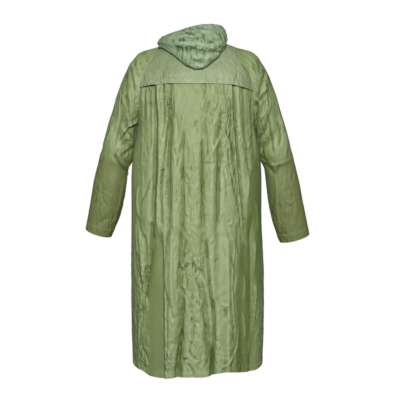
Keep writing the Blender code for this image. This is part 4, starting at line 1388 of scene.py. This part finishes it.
def cloth_surface(nodes, place, short):
    """A cloth's normal: nets of fine creases, ridges among them and a grain."""
    wander = nodes.add("ShaderNodeTexNoise", Vector=short, Scale=30.0, Detail=2.0).outputs["Color"]
    wandering = nodes.worked_out("ShaderNodeVectorMath", {"operation": "MULTIPLY_ADD"},
                                 wander, (NET_WANDER,) * 3, short)
    crumple = nodes.attribute("crumple")
    uneven = nodes.noise(short, Scale=11.0, Detail=1.0)
    share = nodes.worked_out("ShaderNodeMath", {"operation": "MULTIPLY"},
                             nodes.ranged(crumple, 0.0, FULL_CRUMPLE, 0.0, 1.0),
                             nodes.ranged(uneven, 0.36, 0.60, 0.15, 1.0))
    surface = None
    for scale, breadth, depth in CREASE_NETS:
        net = nodes.add("ShaderNodeTexVoronoi", {"feature": "DISTANCE_TO_EDGE"},
                        Vector=wandering, Scale=scale).outputs["Distance"]
        edges = nodes.ranged(net, 0.0, breadth, 0.0, 1.0)
        surface = nodes.bump(edges, strength=share, distance=depth, normal=surface)
    ridges = nodes.noise(wandering, {"noise_type": "RIDGED_MULTIFRACTAL"}, Scale=40.0,
                         Detail=2.0, Roughness=0.5, Offset=0.9, Gain=1.4)
    ridged = nodes.ranged(crumple, 0.0, FULL_CRUMPLE, 0.0, 0.7)
    surface = nodes.bump(ridges, strength=ridged, distance=0.003, normal=surface)
    grain = nodes.noise(place, Scale=420.0, Detail=2.0)
    return nodes.bump(grain, strength=0.16, distance=0.0003, normal=surface)


def cloth_material(name, tones, seed, low_tones=None):
    """Thin coated cloth with a satin shine."""
    nodes = Nodes(name)
    place = nodes.place()
    drawn_out = nodes.shifted(place, seed, squeeze=0.3)
    blotches = nodes.noise(drawn_out, Scale=7.0, Detail=4.0, Roughness=0.6)
    mottle = nodes.noise(drawn_out, Scale=46.0, Detail=6.0, Roughness=0.65, Distortion=0.8)
    tones = cloth_tones(nodes, place, tones, low_tones)
    surface = cloth_surface(nodes, place, nodes.shifted(place, seed, squeeze=0.42))
    nodes.put(nodes.shader, "Base Color", cloth_colour(nodes, tones, blotches, mottle))
    nodes.put(nodes.shader, "Roughness", nodes.ranged(mottle, 0.3, 0.75, 0.57, 0.66))
    nodes.put(nodes.shader, "Normal", surface)
    nodes.shader.inputs["Specular IOR Level"].default_value = 0.75
    return nodes.material


def flecked(name, colour, dulled, scale, detail):
    """Nodes of a material whose colour varies up to colour, and the noise that it follows."""
    nodes = Nodes(name)
    flecks = nodes.noise(nodes.place(), Scale=scale, Detail=detail)
    dull = tuple(dulled * value for value in colour)
    nodes.put(nodes.shader, "Base Color", nodes.mix(flecks, rgba(dull), rgba(colour)))
    return nodes, flecks


def thread_material():
    nodes, twist = flecked("thread", THREAD, dulled=0.72, scale=900.0, detail=2.0)
    nodes.shader.inputs["Roughness"].default_value = 0.5
    nodes.put(nodes.shader, "Normal", nodes.bump(twist, strength=0.3, distance=0.0002))
    return nodes.material


def enamel_material():
    nodes, flecks = flecked("stud_enamel", ENAMEL, dulled=0.7, scale=260.0, detail=4.0)
    nodes.put(nodes.shader, "Roughness", nodes.ranged(flecks, 0.3, 0.7, 0.24, 0.38))
    nodes.shader.inputs["Metallic"].default_value = 0.3
    return nodes.material


# ------------------------------------------------------------------ the coat
def measured(form):
    """x, z and the distances from the first column, the top and the bottom, point by point."""
    down = lengths(form, 0)
    return form[..., 0], form[..., 2], lengths(form, 1), down, down[-1] - down


def build_back(cloth):
    rows = back_rows(BACK_GRID[0])
    form = spline_at(rows, even_places(rows, BACK_GRID[1], first=CAPE_TOP))
    down = lengths(form, 0)
    from_hem = down[-1] - down
    form[..., 2] += read_off(HEM_LINE, form[..., 0]) * smooth_step(1.0 - from_hem / HEM_GIVE)
    x, z, across = measured(form)[:3]
    to_side = to_nearer_side(across)
    centred = across - across[:, -1:] / 2
    loose = fade_in(to_side, SEAM_FADE)
    lively = 1.0 - patch_share(x, z, BACK_CALM)
    relief = fold_relief(form, BACK_FOLDS) * fade_in(to_side, FOLD_FADE)
    relief += CREASE_GAIN * crease_relief(x, z, BACK_CREASES) * loose
    relief += rumpled(BACK_CRUMPLE, centred, z) * loose * lively
    relief += seam_pucker(z, to_side, phase=0.4) * fade_in(to_side, PUCKER_FADE)
    relief += hem_relief(from_hem, HEM)
    under_cape = fade_in(z - UNDER_CAPE, UNDER_CAPE_RAMP)
    relief = relief * (1 - under_cape) + np.maximum(relief, 0.0) * under_cape
    looks = {"crumple": liveliness(BACK_CRUMPLE, centred, z) * lively,
             "shade": patch_share(x, z, BACK_PAINTED_SHADE)}
    outer, normals = add_shell("back_panel_cloth", ["back_panel"], form, relief, looks, cloth)
    middle = form.shape[1] // 2
    return [row_path(outer, normals, from_hem[:, middle] < HEM - STITCH_INSET)], rows


def build_cape(cloth):
    rows = back_rows(CAPE_GRID[0])[:len(BACK_YOKE)]
    below = rows[CAPE_EDGE + 1] - rows[CAPE_EDGE]
    rows[CAPE_EDGE] += below * read_off(CAPE_DROP, rows[CAPE_EDGE, :, 0])[:, None]
    places = even_places(rows, CAPE_GRID[1], last=CAPE_EDGE)
    base = spline_at(rows, places)
    form = base + grid_normals(base) * cape_stand_off(base, places)[..., None]
    x, z, across, down, from_edge = measured(form)
    to_side = to_nearer_side(across)
    loose = fade_in(to_side, NARROW_FADE) * fade_in(down, SEAM_FADE)
    relief = CAPE_GAIN * crease_relief(x, z, CAPE_CREASES) * loose
    relief += rumpled(CAPE_CRUMPLE, across - across[:, -1:] / 2, z) * loose
    relief += seam_pucker(x, np.abs(from_edge - CAPE_HEM), phase=2.0)
    relief += SEAM_SINK * bell(to_side, SINK_REACH)
    relief += hem_relief(from_edge, CAPE_HEM)
    relief = np.minimum(relief, CAPE_DEEPEST) - CAPE_PROUD * loose
    looks = {"crumple": CAPE_FINE_CRUMPLE, "shade": patch_share(x, z, CAPE_PAINTED_SHADE)}
    outer, normals = add_shell("back_cape_cloth", ["back_yoke"], form, relief, looks, cloth)
    middle = form.shape[1] // 2
    path, outward = row_path(outer, normals, from_edge[:, middle] < CAPE_HEM - NARROW_INSET)
    paths = []
    for low, high, width in CAPE_STITCHES:
        stretch = (path[:, 0] > low) & (path[:, 0] < high)
        paths.append((path[stretch], outward[stretch], width))
    for tack_x in CAPE_TACKS:
        column = int(np.argmin(np.abs(outer[-1, :, 0] - tack_x)))
        start = int(np.argmax(from_edge[:, column] < TACK_LENGTH))
        for beside in (column - 1, column + 1):
            paths.append((outer[start:, beside], normals[start:, beside]))
    return paths


def build_front(side, cloth):
    rows = front_rows(side, FRONT_GRID[0])
    form = spline_at(rows, even_places(rows, FRONT_GRID[1]))
    if side > 0:
        step = (CLOTH + FRONT_LAP_GAP) * over_lower_front(form[..., 0])
        form = form + grid_normals(form) * step[..., None]
    x, z, across, down, from_hem = measured(form)
    to_side = across if side > 0 else across[:, -1:] - across
    loose = fade_in(to_side, SEAM_FADE) * fade_in(down, FRONT_TOP_FADE)
    loose = loose * fade_in(np.abs(x) - FRONT_OVERLAP, OVERLAP_FADE)
    relief = fold_relief(form, FRONT_FOLDS) * fade_in(to_side, FRONT_FOLD_FADE)
    relief *= fade_in(np.abs(x) - FRONT_FOLD_START, FOLD_FADE)
    relief += CREASE_GAIN * crease_relief(x, z, FRONT_CREASES) * loose
    relief += rumpled(FRONT_CRUMPLE, to_side, z, side) * loose
    relief += seam_pucker(z, to_side, phase=1.1) * fade_in(to_side, PUCKER_FADE)
    if side > 0:
        relief += hem_relief(from_hem, HEM)
    name = "front_left" if side > 0 else "front_right"
    looks = {"crumple": liveliness(FRONT_CRUMPLE, to_side, z, side)}
    outer, normals = add_shell(name + "_cloth", [name], form, relief, looks, cloth)
    paths = [row_path(outer, normals, from_hem[:, 0] < HEM - STITCH_INSET)]
    if side > 0:
        paths.append((outer[:, EDGE_STITCH_COLUMN], normals[:, EDGE_STITCH_COLUMN]))
    return paths, rows, outer, normals


def build_sleeve(side, back_edge, front_edge, cloth):
    form, along, angles = sleeve_form(side, back_edge, front_edge)
    relief = dent_relief(along, angles)
    if side < 0:
        form, relief, angles = mirrored(form)[:, ::-1], relief[:, ::-1], angles[:, ::-1]
    x, z, across, down, from_cuff = measured(form)
    around = angles / (2 * math.pi) * float(across[:, -1].mean()) * np.ones_like(x)
    loose = fade_in(down, NARROW_FADE)
    creases = LEFT_ARM_CREASES if side > 0 else RIGHT_ARM_CREASES
    for lower, facing in ((0.0, np.sin(angles)), (ARM_FRONT_LOWER, -np.sin(angles))):
        shown = smooth_step(facing * ARM_TURN) * loose
        relief = relief + ARM_GAIN * crease_relief(x, z + lower, creases) * shown
    calm = 1.0 - FOREARM_CALM * fade_in(along - FOREARM_START, FOREARM_RAMP)
    calm = calm * calm_at_bends(form, closed=True)
    calm = calm * (1.0 - OUTER_CALM * bell(angles - math.pi, OUTER_SPREAD))
    to_body = fade_in(np.minimum(around, around.max() - around), END_FADE)
    relief += rumpled(SLEEVE_CRUMPLE, around, down, side) * loose * calm * to_body
    relief += seam_pucker(around, down, phase=0.9) * fade_in(down, PUCKER_FADE)
    relief += SEAM_SINK * bell(down, SINK_REACH)
    relief = nestled(form, relief, angles) + hem_relief(from_cuff, CUFF_HEM)
    name = "sleeve_left" if side > 0 else "sleeve_right"
    looks = {"crumple": calm * liveliness(SLEEVE_CRUMPLE, around, down, side),
             "shade": patch_share(x, z, ARM_PAINTED_SHADE)}
    outer, normals = add_shell(name + "_cloth", [name + "_back", name + "_front"], form, relief,
                               looks, cloth, closed=True)
    height = from_cuff.mean(axis=1)
    wanted_rows = (height < CUFF_HEM - STITCH_INSET, height < STITCH_INSET,
                   down.mean(axis=1) > SEAM_STITCH)
    return [row_path(outer, normals, wanted) for wanted in wanted_rows]


def build_hood(cloth):
    form, middle = hood_form()
    x, z, across, down, from_rim = measured(form)
    share = down / down[-1]
    centred = across - across[:, middle:middle + 1]
    crumple = HOOD_CRUMPLE._replace(high=(HOOD_CRUMPLE.high[0], float(down.max())))
    calm = calm_at_bends(form)
    loose = fade_in(down, SEAM_FADE) * fade_in(to_nearer_side(across), END_FADE)
    taut = fade_in(share - HOOD_TAUT_START, HOOD_TAUT_RAMP)
    taut = taut * fade_in(HOOD_TAUT_END - share, HOOD_TAUT_RAMP)
    loose = loose * (1.0 - HOOD_TAUT * taut)
    behind = fade_in(form[..., 1] - HOOD_BEHIND, HOOD_BEHIND_RAMP)
    behind = behind * fade_in(share - HOOD_TOP_START, HOOD_TOP_RAMP)
    relief = CREASE_GAIN * crease_relief(x, z, HOOD_CREASES) * behind
    relief *= no_less(calm, HOOD_BEND_CREASES)
    relief += crease_relief(centred, down, scattered(crumple)) * loose * calm
    relief += crumpled(crumple, centred, down) * loose * no_less(calm, HOOD_BEND_FACETS)
    relief += HOOD_PUCKER * seam_pucker(down, np.abs(centred), phase=0.3)
    relief += hem_relief(from_rim, RIM_HEM)
    paths = []
    for name, part in (("hood_left", np.s_[:, :middle + 1]), ("hood_right", np.s_[:, middle:])):
        looks = {"crumple": 0.8 + 0.4 * calm[part],
                 "shade": patch_share(x[part], z[part], HOOD_PAINTED_SHADE)}
        outer, normals = add_shell(name + "_cloth", [name, name + "_band"], form[part],
                                   relief[part], looks, cloth)
        paths.append(row_path(outer, normals, from_rim[:, middle] < RIM_HEM - NARROW_INSET))
    return paths


def build_studs(front, normals, enamel):
    """Caps down the middle of the overlap, on the upper front."""
    column = int(np.argmin(np.abs(front[:, :, 0]).mean(axis=0)))
    for number in range(STUD_COUNT):
        height = STUD_TOP - number * STUD_PITCH
        row = int(np.argmin(np.abs(front[:, column, 2] - height)))
        name = f"stud_{number + 1}"
        stud = add_piece(name + "_cap", stud_mesh(name + "_cap"), enamel)
        seat = normals[row - STUD_SEAT:row + STUD_SEAT + 1, column]
        outward = Vector(unit(seat.mean(axis=0)))
        point = Vector((0.0, front[row, column, 1], height)) + outward * LAP_GAP
        stud.parent = None
        stud.location = point * MM
        stud.rotation_mode = "QUATERNION"
        stud.rotation_quaternion = Vector((0.0, 0.0, 1.0)).rotation_difference(outward)
        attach(stud, "root")
        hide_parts(name)


def build_coat():
    sage = cloth_material("coated_cloth_sage", SAGE, seed=0.0)
    # The hood's cloth carries painted sheen and deeper painted crease shade.
    hood_sage_painted_sheen = cloth_material("coated_cloth_hood_painted_sheen", HOOD_SAGE_PAINTED_SHEEN, seed=5.0)
    olive = cloth_material("coated_cloth_olive", SAGE, seed=3.0, low_tones=OLIVE)
    thread = thread_material()
    body_paths, back = build_back(sage)
    # The cape's cloth is a lighter copy of the sage: painted light.
    body_paths += build_cape(cloth_material("coated_cloth_cape_painted_light", CAPE_SAGE_PAINTED_LIGHT, seed=2.0))
    left_paths, front_left, outer, normals = build_front(1, sage)
    right_paths, front_right, _, _ = build_front(-1, sage)
    back_seam = len(BACK_YOKE) + 1
    front_seam = len(FRONT_CHEST) + 1
    left_arm = build_sleeve(1, back[:back_seam, -1], front_left[:front_seam, 0], olive)
    right_arm = build_sleeve(-1, mirrored(back[:back_seam, 0]),
                             mirrored(front_right[:front_seam, -1]), olive)
    hood_paths = build_hood(hood_sage_painted_sheen)
    add_stitches("body_stitching", body_paths + left_paths + right_paths, thread)
    add_stitches("sleeve_stitching", left_arm + right_arm, thread)
    add_stitches("hood_stitching", hood_paths, thread)
    build_studs(outer, normals, enamel_material())


# ------------------------------------------------------------------ studio
def add_area_light(name, place, target, size, power):
    light = bpy.data.lights.new(name, "AREA")
    light.shape = "RECTANGLE"
    light.size, light.size_y = size
    light.energy = power
    lamp = place_object(name, light)
    lamp.location = place
    lamp.rotation_mode = "QUATERNION"
    lamp.rotation_quaternion = (Vector(target) - lamp.location).to_track_quat("-Z", "Y")


def whiten(tree, shader):
    """White to the camera, and a dimmer even light on the coat."""
    shader.inputs["Color"].default_value = (1.0, 1.0, 1.0, 1.0)
    seen = tree.nodes.new("ShaderNodeLightPath").outputs["Is Camera Ray"]
    strength = tree.nodes.new("ShaderNodeMapRange")
    tree.links.new(seen, strength.inputs["Value"])
    strength.inputs["To Min"].default_value = WORLD_LIGHT
    strength.inputs["To Max"].default_value = WORLD_SEEN
    tree.links.new(strength.outputs["Result"], shader.inputs["Strength"])


def build_world():
    world = bpy.data.worlds.new("studio")
    bpy.context.scene.world = world
    world.use_nodes = True
    whiten(world.node_tree, world.node_tree.nodes["Background"])


def build_floor():
    """Plain pale floor, as bright as the world behind it."""
    material = bpy.data.materials.new("pale_floor")
    material.use_nodes = True
    tree = material.node_tree
    glow = tree.nodes.new("ShaderNodeEmission")
    whiten(tree, glow)
    tree.links.new(glow.outputs[0], tree.nodes["Material Output"].inputs["Surface"])
    tree.nodes.remove(tree.nodes["Principled BSDF"])
    half = FLOOR_SIZE / 2
    corners = [(x * half, y * half, FLOOR_Z) for x, y in ((-1, -1), (1, -1), (1, 1), (-1, 1))]
    mesh = mesh_of("floor", np.array(corners), [(0, 1, 2, 3)])
    mesh.materials.append(material)
    place_object("floor", mesh)


def build_camera():
    data = bpy.data.cameras.new("view")
    data.lens = LENS
    data.sensor_width = 36.0
    camera = place_object("view", data)
    camera.location = Vector((VIEW_X, VIEW_DISTANCE, VIEW_Z)) * MM
    camera.rotation_euler = (math.pi / 2, 0.0, math.pi)
    bpy.context.scene.camera = camera


def build_studio():
    build_world()
    build_floor()
    for light in LIGHTS:
        add_area_light(*light)
    build_camera()


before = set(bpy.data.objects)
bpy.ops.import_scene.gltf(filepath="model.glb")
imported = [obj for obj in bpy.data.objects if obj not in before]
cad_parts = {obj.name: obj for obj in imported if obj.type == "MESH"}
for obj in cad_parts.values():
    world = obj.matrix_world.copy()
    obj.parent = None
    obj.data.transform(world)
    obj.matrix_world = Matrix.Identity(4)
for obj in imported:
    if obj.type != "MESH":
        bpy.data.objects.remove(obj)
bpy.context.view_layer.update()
build_studio()
build_coat()
bpy.context.scene.view_settings.view_transform = "Standard"
